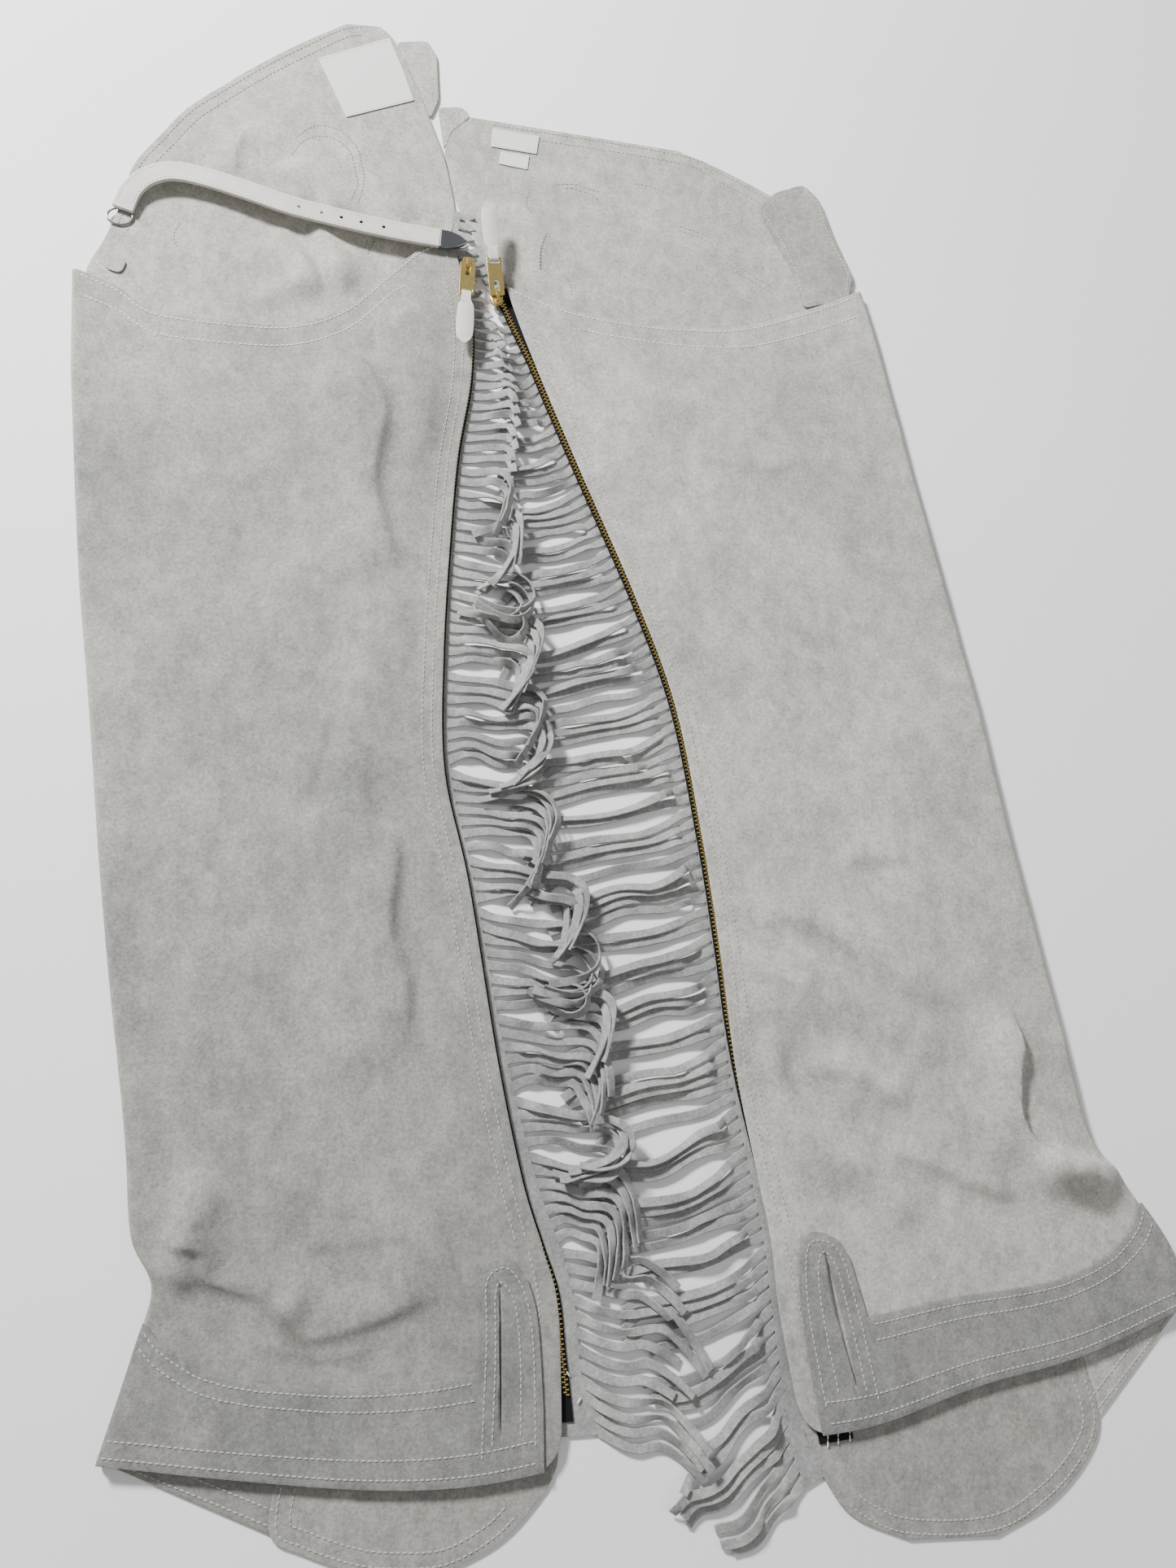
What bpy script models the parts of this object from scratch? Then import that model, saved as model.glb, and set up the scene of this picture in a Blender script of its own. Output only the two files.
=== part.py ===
"""Suede fringe chaps, unzipped flat and laid face down on a table.

Each leg is a flat front panel, a back panel on top of it that turns round the
inseam fold, a hem band with a slit tongue, a zip with slider, pull tab and
leather pull, and a strip of cut fringe. A strap crosses the waist.

Plan tables are in millimetres: x to the right, y towards the waist, both from
one corner point of the layout; z is the height over the table. "Left" and
"right" are as seen from above with the waist away from the viewer.
"""
import math
from collections import namedtuple

import bmesh
import bpy
import numpy as np
from mathutils import Vector

MM = 0.001
MIDDLE_X = 173.0
MIDDLE_Y = 275.5

# Walls and the stack of layers, mm
FRONT_WALL = 1.6
BACK_WALL = 1.5
BAND_WALL = 1.2
GAP = 0.3
BACK_TOP = 5.8
FOLD_TOP = 6.8
FOLD_REACH = 18.0
EDGE_INSET = 3.0
BAND_GAP = 0.5

# The leather that turns under at the inseam, mm
WRAP_AT_CROTCH = 8.0
WRAP_AT_HEM = 96.0
WRAP_DROP = 46.0

# Fringe, mm
STRAND_PITCH = 9.0
STRAND_WIDTH = 6.9
STRAND_THICK = 1.4
STRIP_BOTTOM = 0.3
LAY_GAP = 0.35
RISE = 11.0
NEST = 5
NEST_STEP = 4.5
FLAT_ABOVE_Y = 575.0
NEST_FIRST_Y = 490.0
NEST_LAST_Y = -70.0

Section = namedtuple("Section", "fold_x fold_y zip_x zip_y")
Row = namedtuple("Row", "fold_x fold_y zip_x zip_y")
Fold = namedtuple("Fold", "x0 y0 x1 y1 half_width height")
Hang = namedtuple("Hang", "root_y reach drop bow")
Station = namedtuple("Station", "x y z")
Leg = namedtuple("Leg", "name inward sections top hem waist flare folds root hang first last")

# Down each leg: the inseam fold and the zip edge
LEFT_SECTIONS = (
    Section(-209, 588, 66, 641),
    Section(-206, 520, 79, 580),
    Section(-203, 480, 78, 520),
    Section(-196, 400, 67, 455),
    Section(-189, 330, 60, 385),
    Section(-180, 260, 54, 300),
    Section(-171, 180, 53, 215),
    Section(-158, 80, 68, 135),
    Section(-144, -19, 84, 20),
    Section(-138, -75, 98, -57),
    Section(-125, -104, 110, -100),
    Section(-133, -137, 118, -137),
    Section(-151, -197, 117, -224),
)
RIGHT_SECTIONS = (
    Section(403, 623, 107, 603),
    Section(412, 574, 118, 565),
    Section(421, 510, 138, 505),
    Section(433, 430, 163, 435),
    Section(446, 345, 196, 344),
    Section(458, 265, 220, 262),
    Section(470, 165, 233, 165),
    Section(481, 85, 240, 85),
    Section(492, 5, 245, 5),
    Section(499, -50, 254, -62),
    Section(519, -82, 260, -105),
    Section(545, -125, 262, -150),
    Section(555, -166, 271, -222),
)
# Scooped thigh edge and hem, from the fold to the zip: x, y
LEFT_TOP = ((-209, 588), (-181, 577), (-152, 559), (-88, 554), (-47, 558), (-12, 576), (19, 608), (44, 632),
            (66, 641))
RIGHT_TOP = ((403, 623), (343, 597), (290, 581), (223, 578), (157, 585), (107, 603))
LEFT_HEM = ((-151, -197), (-79, -211), (0, -224), (60, -228), (117, -224))
RIGHT_HEM = ((555, -166), (473, -190), (395, -202), (324, -218), (271, -222))

# Front panel above the thigh edge, top row first, then its rounded flare below the hem
LEFT_WAIST = (
    Row(-15, 841, 12, 842),
    Row(-50, 817, 24, 828),
    Row(-82, 792, 36, 797),
    Row(-110, 767, 46, 770),
    Row(-135, 743, 54, 745),
    Row(-153, 717, 61, 722),
    Row(-172, 686, 66, 695),
    Row(-179, 653, 69, 670),
    Row(-189, 620, 67, 655),
)
RIGHT_WAIST = (
    Row(255, 750, 84, 762),
    Row(293, 735, 68, 745),
    Row(330, 716, 62, 726),
    Row(362, 698, 70, 703),
    Row(380, 676, 82, 678),
    Row(392, 650, 95, 648),
    Row(398, 636, 104, 622),
)
LEFT_FLARE = (Row(-37, -255, 97, -246), Row(-8, -267, 76, -262), Row(17, -272, 47, -273))
RIGHT_FLARE = (Row(466, -253, 288, -255), Row(436, -276, 303, -272), Row(396, -291, 336, -287))

# The largest folds of the back panels, as soft ridges
LEFT_FOLDS = (
    Fold(28, 560, 40, 470, 24, 5.0),
    Fold(-20, 500, 10, 380, 22, 4.0),
    Fold(8, 330, -12, 215, 20, 4.5),
    Fold(-30, 170, -6, 40, 24, 4.0),
    Fold(-104, -55, -112, -96, 14, 8.0),
    Fold(-96, -66, -50, -118, 15, 7.0),
    Fold(-40, -60, 40, -108, 20, 5.0),
    Fold(-170, 150, -160, 60, 20, 3.0),
)
RIGHT_FOLDS = (
    Fold(300, 60, 380, 20, 22, 5.0),
    Fold(330, -10, 420, -50, 20, 5.0),
    Fold(440, 10, 476, -70, 18, 7.0),
    Fold(470, -70, 508, -84, 13, 9.0),
    Fold(290, -40, 350, -80, 20, 4.0),
    Fold(210, 520, 330, 470, 30, 3.0),
    Fold(280, 300, 380, 240, 30, 3.0),
)

# How far the cut fringe stands out from its strip, and how each stretch of it lies
LEFT_ROOT = ((722, 4), (400, 5), (60, 7), (-100, 13), (-170, 15), (-212, 26))
RIGHT_ROOT = ((640, 5), (300, 6), (0, 6), (-150, 6), (-210, 10), (-262, 16))
LEFT_HANG = (
    Hang(650, 8, 4, 0),
    Hang(600, 9, 5, 0),
    Hang(560, 18, 7, 0),
    Hang(520, 32, 4, 0),
    Hang(490, 38, 0, 0),
    Hang(460, 44, 0, -1),
    Hang(393, 50, 0, -2),
    Hang(303, 70, 0, -3),
    Hang(184, 80, 0, -4),
    Hang(43, 78, 0, -4),
    Hang(-76, 64, 0, -2),
    Hang(-130, 56, 10, 0),
    Hang(-160, 52, 22, 0),
    Hang(-185, 49, 28, 0),
    Hang(-215, 46, 28, 0),
)
RIGHT_HANG = (
    Hang(650, 7, 4, 0),
    Hang(600, 8, 5, 0),
    Hang(560, 11, 8, 0),
    Hang(500, 30, 18, 2),
    Hang(400, 74, 20, 6),
    Hang(300, 108, 22, 9),
    Hang(200, 132, 16, 8),
    Hang(60, 126, 10, 6),
    Hang(-60, 112, 16, 7),
    Hang(-140, 100, 24, 7),
    Hang(-185, 90, 32, 4),
    Hang(-225, 80, 30, 2),
    Hang(-262, 62, 27, 0),
)

LEGS = (
    Leg("left", 1, LEFT_SECTIONS, LEFT_TOP, LEFT_HEM, LEFT_WAIST, LEFT_FLARE, LEFT_FOLDS,
        LEFT_ROOT, LEFT_HANG, 672, -212),
    Leg("right", -1, RIGHT_SECTIONS, RIGHT_TOP, RIGHT_HEM, RIGHT_WAIST, RIGHT_FLARE, RIGHT_FOLDS,
        RIGHT_ROOT, RIGHT_HANG, 642, -253),
)

# Grid of a back panel: share of the way from the fold to the zip, and from the top to the hem
ACROSS = (0, 0.035, 0.08, 0.14, 0.21, 0.29, 0.38, 0.47, 0.56, 0.65, 0.74, 0.82, 0.89, 0.945, 1)
DOWN = tuple(np.linspace(0, 0.78, 17)) + (0.81, 0.835, 0.86, 0.885, 0.91, 0.935, 0.965, 1)
TURN_STEPS = 4
UNDER = (0.3, 0.65, 1.0)

# The hem band's upper edge, in shares of the panel: across, down
BAND_EDGE = ((-0.012, 0.892), (0, 0.893), (0.035, 0.903), (0.08, 0.912), (0.14, 0.921), (0.21, 0.926),
             (0.29, 0.929), (0.45, 0.931), (0.61, 0.931), (0.77, 0.931), (0.795, 0.931), (0.801, 0.905),
             (0.806, 0.882), (0.82, 0.869), (0.85, 0.862), (0.888, 0.861), (0.92, 0.867), (0.938, 0.882),
             (0.946, 0.905), (0.951, 0.935), (0.956, 0.965))
BAND_FOOT = (-0.012, 0, 0.035, 0.08, 0.14, 0.21, 0.29, 0.45, 0.61, 0.77, 0.8, 0.82, 0.835, 0.85, 0.87,
             0.89, 0.91, 0.925, 0.94, 0.95, 0.957)
BAND_ROWS = 3
SLIT_ACROSS = 0.868
SLIT_DOWN = (0.88, 0.975)
SLIT_WIDTH = {"left": 1.4, "right": 4.0}

# Zips, mm: how far the chain's middle lies outside the panel's edge, by share down the leg
CHAIN_WIDTH = 4.4
CHAIN_HEIGHT = 1.4
TAPE_BOTTOM = 2.1
TAPE_THICK = 0.6
TAPE_IN = 11.0
TAPE_OUT = 4.0
ZIP_PLACE = {
    "left": ((0.035, -1.0), (0.4, -2.0), (0.85, -1.0), (0.93, 3.5), (0.975, 8.0)),
    "right": ((0.0, 8.0), (0.03, 6.5), (0.09, 3.0), (0.3, 2.6), (0.7, 1.0), (0.9, -6.0), (1.006, -14.0)),
}
ZIP_STATIONS = 34

# Slider, pull tab and leather pull, mm. The hinge crosses the slider over its body.
SLIDER_BODY = (9.0, 13.0, 3.4)
AXIS_OVER_BODY = 1.4
ARCH_WIDTH = 2.2
ARCH_OPENING = 5.2
ARCH_POST = 1.6
ARCH_ROOF = 1.2
BAR = 1.4
TAB_WIDTH = 11.6
TAB_LENGTH = 30.0
TAB_SLOT = (3.4, 12.0)
TAB_WINDOW = (8.4, 3.6)
LEATHER_WALL = 1.2
LEATHER_WIDTH = 12.4
LEATHER_NECK = 7.4
LEATHER_LENGTH = 46.0
Pull = namedtuple("Pull", "leg x y z heading tilt")
# Heading is the tab's direction in plan, degrees from +y towards -x; tilt is its rise
PULLS = (
    Pull("left", 77.5, 617.0, 10.9, 176.0, 3.0),
    Pull("right", 99.5, 592.0, 9.2, 5.0, 9.0),
)

# Strap and trims
STRAP_WIDTH = 15.6
STRAP_THICK = 3.0
STRAP = (
    Station(-177, 644, 3.4), Station(-171, 660, 5.0), Station(-160, 671, 7.0), Station(-143, 676, 9.0),
    Station(-122, 673, 10.5), Station(-90, 664, 11.0), Station(-54, 653, 11.0), Station(-12, 645, 10.5),
    Station(24, 640, 9.6), Station(56, 637, 9.0),
)
TIP_LENGTH = 21.0
RING_RADIUS = 9.0
RING_WIRE = 1.6
LABEL_THICK = 0.6
TRIMS = (
    # name, outline in plan, bottom, thickness, colour
    ("waist_tab_left", ((24.4, 828.2), (50, 833), (57, 819), (58, 776), (50.9, 756.2), (46.4, 770.1),
                        (36.4, 797.2)), 0.3, 1.6, "suede"),
    ("waist_tab_right", ((57, 768), (77, 771), (83.5, 762.4), (67.5, 745.5), (61.5, 728)), 0.3, 1.6, "suede"),
    ("front_tab_right", ((321, 699), (337, 716), (363, 727), (376, 713), (384, 681), (398, 640), (392, 618),
                         (352, 606), (346, 640), (332, 672)), 1.9, 1.6, "suede"),
    ("care_label", ((-37, 803), (19, 831), (30, 800), (38, 772), (-15, 749)), 1.9, LABEL_THICK, "white_cloth"),
    ("name_label", ((101, 753), (139, 750), (136, 732), (99, 735)), 1.9, LABEL_THICK, "white_cloth"),
    ("size_label", ((107, 731.5), (130, 729.5), (128, 716), (105, 719)), 1.9, LABEL_THICK, "white_cloth"),
    ("loop_tab", ((-186, 606), (-172, 602), (-176, 590), (-188, 594)), 1.9, 1.2, "suede"),
)

COLOURS = {
    # name: colour, roughness, metallic
    "suede": ((0.52, 0.50, 0.47), 0.95, 0.0),
    "suede_inside": ((0.62, 0.58, 0.54), 0.95, 0.0),
    "strap_leather": ((0.70, 0.67, 0.62), 0.8, 0.0),
    "black_tape": ((0.02, 0.02, 0.025), 0.9, 0.0),
    "gold": ((0.80, 0.62, 0.22), 0.3, 1.0),
    "steel": ((0.45, 0.45, 0.47), 0.2, 1.0),
    "white_cloth": ((0.85, 0.84, 0.82), 0.9, 0.0),
}


def metres(x, y, z):
    """A plan point in millimetres, as the model's point in metres."""
    return Vector(((x - MIDDLE_X) * MM, (y - MIDDLE_Y) * MM, z * MM))


def smooth_step(value):
    value = min(max(value, 0.0), 1.0)
    return value * value * (3 - 2 * value)


def smooth_curve(points, count):
    """count points, evenly spaced, on a smooth curve through the given ones."""
    knots = np.array(points, float)
    knots = np.vstack([2 * knots[0] - knots[1], knots, 2 * knots[-1] - knots[-2]])
    dense = []
    for a, b, c, d in zip(knots[:-3], knots[1:-2], knots[2:-1], knots[3:]):
        for t in np.linspace(0, 1, 16, endpoint=False):
            dense.append(0.5 * (2 * b + (c - a) * t + (2 * a - 5 * b + 4 * c - d) * t * t
                                + (3 * b - a - 3 * c + d) * t ** 3))
    dense.append(knots[-2])
    dense = np.array(dense)
    travelled = np.concatenate([[0], np.cumsum(np.linalg.norm(np.diff(dense, axis=0), axis=1))])
    wanted = np.linspace(0, travelled[-1], count)
    return np.column_stack([np.interp(wanted, travelled, dense[:, k]) for k in range(dense.shape[1])])


class Panel:
    """The back panel's outer surface: shares across and down the leg give a plan point and a height."""

    SAMPLES = 241

    def __init__(self, leg):
        self.leg = leg
        edges = smooth_curve(leg.sections, self.SAMPLES)
        self.fold = edges[:, 0:2]
        self.zip = edges[:, 2:4]
        self.top = smooth_curve(leg.top, self.SAMPLES)
        self.hem = smooth_curve(leg.hem, self.SAMPLES)

    def along(self, curve, share):
        place = np.clip(share, 0, 1) * (self.SAMPLES - 1)
        steps = np.arange(self.SAMPLES)
        return np.array([np.interp(place, steps, curve[:, 0]), np.interp(place, steps, curve[:, 1])])

    def plan(self, across, down):
        """A blend of the four edges; past the fold it runs straight on."""
        if across < 0:
            return 2 * self.plan(0, down) - self.plan(-across, down)
        fold = self.along(self.fold, down)
        zip_side = self.along(self.zip, down)
        top = self.along(self.top, across)
        hem = self.along(self.hem, across)
        corners = ((1 - down) * ((1 - across) * self.top[0] + across * self.top[-1])
                   + down * ((1 - across) * self.hem[0] + across * self.hem[-1]))
        return (1 - across) * fold + across * zip_side + (1 - down) * top + down * hem - corners

    def height(self, across, down):
        x, y = self.plan(across, down)
        width = np.linalg.norm(self.along(self.zip, down) - self.along(self.fold, down))
        flat = BACK_TOP + (FOLD_TOP - BACK_TOP) * math.exp(-(max(across, 0) * width / FOLD_REACH) ** 2)
        relief = sum(ridge(fold, x, y) for fold in self.leg.folds)
        band = np.interp(across, [p[0] for p in BAND_EDGE[1:11]], [p[1] for p in BAND_EDGE[1:11]])
        if across > 0.77:
            band = 0.86
        calm = smooth_step((band - 0.004 - down) / 0.05) * smooth_step((1 - across) * width / 28 - 0.2)
        return flat + relief * calm

    def seam(self, down):
        """Where the leather that turns under meets the front panel."""
        x, y = self.along(self.fold, down)
        reach = WRAP_AT_CROTCH + (WRAP_AT_HEM - WRAP_AT_CROTCH) * down
        return np.array([x + self.leg.inward * reach, y - WRAP_DROP * smooth_step((down - 0.9) / 0.1)])


def ridge(fold, x, y):
    """Height of one soft ridge at a plan point."""
    start = np.array([fold.x0, fold.y0], float)
    run = np.array([fold.x1, fold.y1], float) - start
    share = np.clip(np.dot(np.array([x, y]) - start, run) / np.dot(run, run), 0, 1)
    distance = np.linalg.norm(np.array([x, y]) - start - share * run)
    return fold.height * math.exp(-(distance / fold.half_width) ** 2)


def material(name):
    found = bpy.data.materials.get(name)
    if found:
        return found
    colour, roughness, metallic = COLOURS[name]
    made = bpy.data.materials.new(name)
    made.use_nodes = True
    shader = made.node_tree.nodes["Principled BSDF"]
    shader.inputs["Base Color"].default_value = (*colour, 1)
    shader.inputs["Roughness"].default_value = roughness
    shader.inputs["Metallic"].default_value = metallic
    return made


def add_object(name, mesh, colour):
    made = bpy.data.objects.new(name, mesh)
    made.data.materials.append(material(colour))
    bpy.data.collections["leather_chaps"].objects.link(made)
    return made


def grid_mesh(name, rows):
    """A mesh of quads through rows of points, facing up where rows run away from +y and points to +x."""
    count = len(rows[0])
    points = [point for row in rows for point in row]
    faces = []
    for r in range(len(rows) - 1):
        for c in range(count - 1):
            a = r * count + c
            faces.append((a, a + count, a + count + 1, a + 1))
    mesh = bpy.data.meshes.new(name)
    mesh.from_pydata(points, [], faces)
    return mesh


def shell(name, rows, thickness, colour, flip=False):
    """An open sheet through rows of points, given a wall on its inner side."""
    mesh = grid_mesh(name, rows)
    if flip:
        mesh.flip_normals()
    made = add_object(name, mesh, colour)
    wall = made.modifiers.new("wall", "SOLIDIFY")
    wall.thickness = thickness * MM
    wall.offset = -1
    return made


def front_rows(panel):
    """Plan rows of the front panel, from the waist to the flare: seam side to zip side."""
    leg = panel.leg
    rows = [(np.array(row[0:2], float), np.array(row[2:4], float)) for row in leg.waist]
    shift = np.array([leg.inward * GAP, 0])
    inset = np.array([-leg.inward * EDGE_INSET, 0])
    for down in DOWN:
        rows.append((panel.seam(down) + shift, panel.along(panel.zip, down) + inset))
    rows += [(np.array(row[0:2], float), np.array(row[2:4], float)) for row in leg.flare]
    return rows


def front_panel(panel):
    """The flat front panel under a leg, its inner side up."""
    rows = []
    for seam_side, zip_side in front_rows(panel):
        rows.append([metres(*(seam_side + (zip_side - seam_side) * s), FRONT_WALL) for s in np.linspace(0, 1, 4)])
    shell("front_panel_" + panel.leg.name, rows, FRONT_WALL, "suede_inside", flip=panel.leg.inward < 0)


def back_panel(panel):
    """Top sheet, turn at the inseam fold, and the leather that lies under the leg up to its seam."""
    leg = panel.leg
    radius = FOLD_TOP / 2
    rows = []
    for down in DOWN:
        row = []
        for across in reversed(ACROSS):
            x, y = panel.plan(across, down)
            ease = radius * (1 - across) * leg.inward
            row.append(metres(x + ease, y, panel.height(across, down)))
        fold_x, fold_y = panel.along(panel.fold, down)
        crest = panel.height(0, down)
        turn = crest / 2
        for step in range(1, TURN_STEPS + 1):
            angle = math.pi * step / TURN_STEPS
            x = fold_x + leg.inward * (radius - radius * math.sin(angle))
            row.append(metres(x, fold_y, turn + turn * math.cos(angle)))
        seam_x, seam_y = panel.seam(down)
        start = fold_x + leg.inward * radius
        for share in UNDER:
            row.append(metres(start + (seam_x - start) * share, fold_y + (seam_y - fold_y) * share, 0))
        rows.append(row)
    shell("back_panel_" + leg.name, rows, BACK_WALL, "suede", flip=leg.inward > 0)


def band_point(panel, across, down, lift):
    """A point over the back panel's outer face."""
    x, y = panel.plan(across, down)
    ease = FOLD_TOP / 2 * (1 - across) * panel.leg.inward
    return metres(x + ease, y, panel.height(max(across, 0), down) + lift)


def hem_band(panel):
    """Band along the hem, cut in one with a round tongue beside the zip, and its slit."""
    leg = panel.leg
    rows = []
    for r in range(BAND_ROWS + 1):
        share = r / BAND_ROWS
        row = []
        for (across, down), foot in zip(BAND_EDGE, BAND_FOOT):
            row.append(band_point(panel, across + (foot - across) * share, down + (1 - down) * share,
                                  BAND_GAP + BAND_WALL))
        rows.append(row)
    band = shell("hem_band_" + leg.name, rows, BAND_WALL, "suede", flip=leg.inward < 0)
    cut = band.modifiers.new("slit", "BOOLEAN")
    cut.object = slit_cutter(panel)
    cut.operation = "DIFFERENCE"


def slit_cutter(panel):
    """A lens-shaped prism down the tongue."""
    name = panel.leg.name
    upper = panel.plan(SLIT_ACROSS, SLIT_DOWN[0])
    lower = panel.plan(SLIT_ACROSS - 0.01, SLIT_DOWN[1])
    side = np.array([-(lower - upper)[1], (lower - upper)[0]])
    side = side / np.linalg.norm(side) * SLIT_WIDTH[name] / 2
    outline = [upper, upper * 0.7 + lower * 0.3 + side, upper * 0.35 + lower * 0.65 + side, lower,
               upper * 0.35 + lower * 0.65 - side, upper * 0.7 + lower * 0.3 - side]
    cutter = prism("slit_cutter_" + name, outline, BACK_TOP - 1, 6.0)
    bpy.data.collections["leather_chaps"].objects.unlink(cutter)
    bpy.data.collections["cutters"].objects.link(cutter)
    cutter.hide_render = True
    cutter.display_type = "WIRE"
    return cutter


def prism(name, outline, bottom, height, colour="suede"):
    """A flat outline in plan, raised to a plate."""
    area = sum(a[0] * b[1] - b[0] * a[1] for a, b in zip(outline, list(outline[1:]) + [outline[0]]))
    points = list(outline) if area > 0 else list(reversed(outline))
    mesh = bpy.data.meshes.new(name)
    mesh.from_pydata([metres(p[0], p[1], bottom + height) for p in points], [], [tuple(range(len(points)))])
    made = add_object(name, mesh, colour)
    wall = made.modifiers.new("wall", "SOLIDIFY")
    wall.thickness = height * MM
    wall.offset = -1
    return made


def loft(rings):
    """A closed body through rings of points, with end caps."""
    body = bmesh.new()
    placed = [[body.verts.new(point) for point in ring] for ring in rings]
    for a, b in zip(placed[:-1], placed[1:]):
        for k in range(len(a)):
            body.faces.new((a[k], a[k - 1], b[k - 1], b[k]))
    body.faces.new(placed[0])
    body.faces.new(list(reversed(placed[-1])))
    bmesh.ops.recalc_face_normals(body, faces=body.faces)
    return body


def finish_body(name, body, colour):
    mesh = bpy.data.meshes.new(name)
    body.to_mesh(mesh)
    body.free()
    return add_object(name, mesh, colour)


def swept(name, stations, profile, colour):
    """A closed body through cross sections: each station gives a point and its sideways direction."""
    rings = [[metres(point[0] + side[0] * out, point[1] + side[1] * out, point[2] + up) for out, up in profile]
             for point, side in stations]
    return finish_body(name, loft(rings), colour)


def sideways(points):
    """Unit vectors across a plan route, to the right of its direction."""
    tangents = np.gradient(np.array(points, float)[:, 0:2], axis=0)
    tangents /= np.linalg.norm(tangents, axis=1)[:, None]
    return np.column_stack([tangents[:, 1], -tangents[:, 0]])


def zip_fastener(panel):
    """Tape between the panels with the closed chain standing on it."""
    leg = panel.leg
    place = ZIP_PLACE[leg.name]
    downs = np.linspace(place[0][0], place[-1][0], ZIP_STATIONS)
    route = np.array([panel.along(panel.zip, down) for down in downs])
    if downs[-1] > 1:
        past = (downs[-1] - 1) * 1000
        route[-1] += np.array([0, -past])
    out = sideways(route) * (-leg.inward)
    shifts = np.interp(downs, [p[0] for p in place], [p[1] for p in place])
    stations = [((x + s * o[0], y + s * o[1], TAPE_BOTTOM), o) for (x, y), s, o in zip(route, shifts, out)]
    half = CHAIN_WIDTH / 2
    top = TAPE_THICK + CHAIN_HEIGHT
    profile = ((-TAPE_IN, 0), (TAPE_OUT, 0), (TAPE_OUT, TAPE_THICK), (half, TAPE_THICK), (half * 0.6, top),
               (-half * 0.6, top), (-half, TAPE_THICK), (-TAPE_IN, TAPE_THICK))
    swept("zip_" + leg.name, stations, profile, "black_tape")


def root_line(panel):
    """The front panel's zip-side edge in plan, from the waist to the flare."""
    return np.array([zip_side for seam_side, zip_side in front_rows(panel)])


def fringe_roots(panel):
    """Points every half pitch along the cut edge: inner edge, outer edge and outward direction."""
    leg = panel.leg
    edge = root_line(panel)
    edge = edge[(edge[:, 1] <= leg.first + 30) & (edge[:, 1] >= leg.last - 12)]
    travelled = np.concatenate([[0], np.cumsum(np.linalg.norm(np.diff(edge, axis=0), axis=1))])
    start = np.interp(-leg.first, -edge[:, 1], travelled)
    end = np.interp(-leg.last, -edge[:, 1], travelled)
    strands = int((end - start) // STRAND_PITCH)
    gap = STRAND_PITCH - STRAND_WIDTH
    places = []
    for k in range(strands):
        places += [start + k * STRAND_PITCH + gap / 2, start + (k + 1) * STRAND_PITCH - gap / 2]
    line = np.column_stack([np.interp(places, travelled, edge[:, k]) for k in (0, 1)])
    wide = np.column_stack([np.interp(np.array(places) + d, travelled, edge[:, k])
                            for d in (-25, 25) for k in (0, 1)])
    tangent = wide[:, 2:4] - wide[:, 0:2]
    tangent /= np.linalg.norm(tangent, axis=1)[:, None]
    out = np.column_stack([-tangent[:, 1], tangent[:, 0]]) * leg.inward
    widths = np.interp(-line[:, 1], [-r[0] for r in leg.root], [r[1] for r in leg.root])
    inner = line + out * (GAP + 0.2)
    return inner, inner + out * widths[:, None], out


def scatter(number):
    """A repeatable uneven value from -1 to 1."""
    return 2 * ((math.sin(number * 12.9898 + 4.1) * 43758.5453) % 1) - 1


def strand_steps(leg, roots, number):
    """A strand's stations: way out from the root, way down, least height and turn onto its edge in degrees."""
    rows = leg.hang
    root = roots[number]
    reach, drop, bow = [np.interp(-root[1], [-r.root_y for r in rows], [getattr(r, f) for r in rows])
                        for f in ("reach", "drop", "bow")]
    if leg.name == "right":
        drop += 3 * math.sin(0.4 * number)
        longer = 1 + 0.2 * scatter(number)
        return ((0, 0, STRIP_BOTTOM, 0), (reach * 0.22, drop * 0.3 + bow, STRIP_BOTTOM, 0),
                (reach * 0.6, drop * 0.6 + bow, STRIP_BOTTOM, 0),
                (reach * (0.6 + 0.4 * longer), drop * 0.6 + bow + (drop * 0.4 - bow) * longer, STRIP_BOTTOM, 0))
    # The left leg's strands lie over the tips of the right leg's
    over = STRIP_BOTTOM + STRAND_THICK + LAY_GAP
    rise = min(RISE, reach * 0.8)
    place = number % NEST
    first = roots[number - place]
    if root[1] > FLAT_ABOVE_Y:
        over = STRIP_BOTTOM
    if not NEST_LAST_Y < first[1] < NEST_FIRST_Y:
        return ((0, 0, STRIP_BOTTOM, 0), (rise, drop * 0.8 * rise / reach, over, 0),
                (reach * 0.9, drop * 0.85, over, 0), (reach, drop * (1 + 0.04 * scatter(number)), over, 0))
    # Hooks nest in groups: each strand's hook lies inside the one above
    group_reach, bow = [np.interp(-first[1], [-r.root_y for r in rows], [getattr(r, f) for r in rows])
                        for f in ("reach", "bow")]
    own = first[0] + group_reach + 4 * scatter(number // NEST) - NEST_STEP * place - root[0]
    end = (NEST - place) * STRAND_PITCH - 8
    steps = ((0, 0, STRIP_BOTTOM, 0), (rise, bow * 0.4, over, 0), (group_reach * 0.5, bow, over, 0))
    if place == NEST - 1:
        return steps + ((own, bow, over, 0),)
    return steps + ((own - 7, bow + 1.5, over, 70), (own, bow + 2 + 0.3 * end, over, 82),
                    (own - 1, bow + end, over, 84))


def strand_route(leg, roots, out, number):
    """A strand from its root: plan points, heights, turns onto its edge and half widths."""
    root = roots[number]
    steps = strand_steps(leg, roots, number)
    route = np.array([[root[0] + leg.inward * along, root[1] - down] for along, down, level, turn in steps])
    runs = np.gradient(route, axis=0)
    runs /= np.linalg.norm(runs, axis=1)[:, None]
    halves = []
    for run, step in zip(runs, steps):
        room = STRAND_PITCH * abs(np.dot(run, out)) - 0.9
        halves.append(STRAND_WIDTH / 2 if step[3] > 40 else min(STRAND_WIDTH, room) / 2)
    return route, [step[2] for step in steps], [math.radians(step[3]) for step in steps], halves


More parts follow.
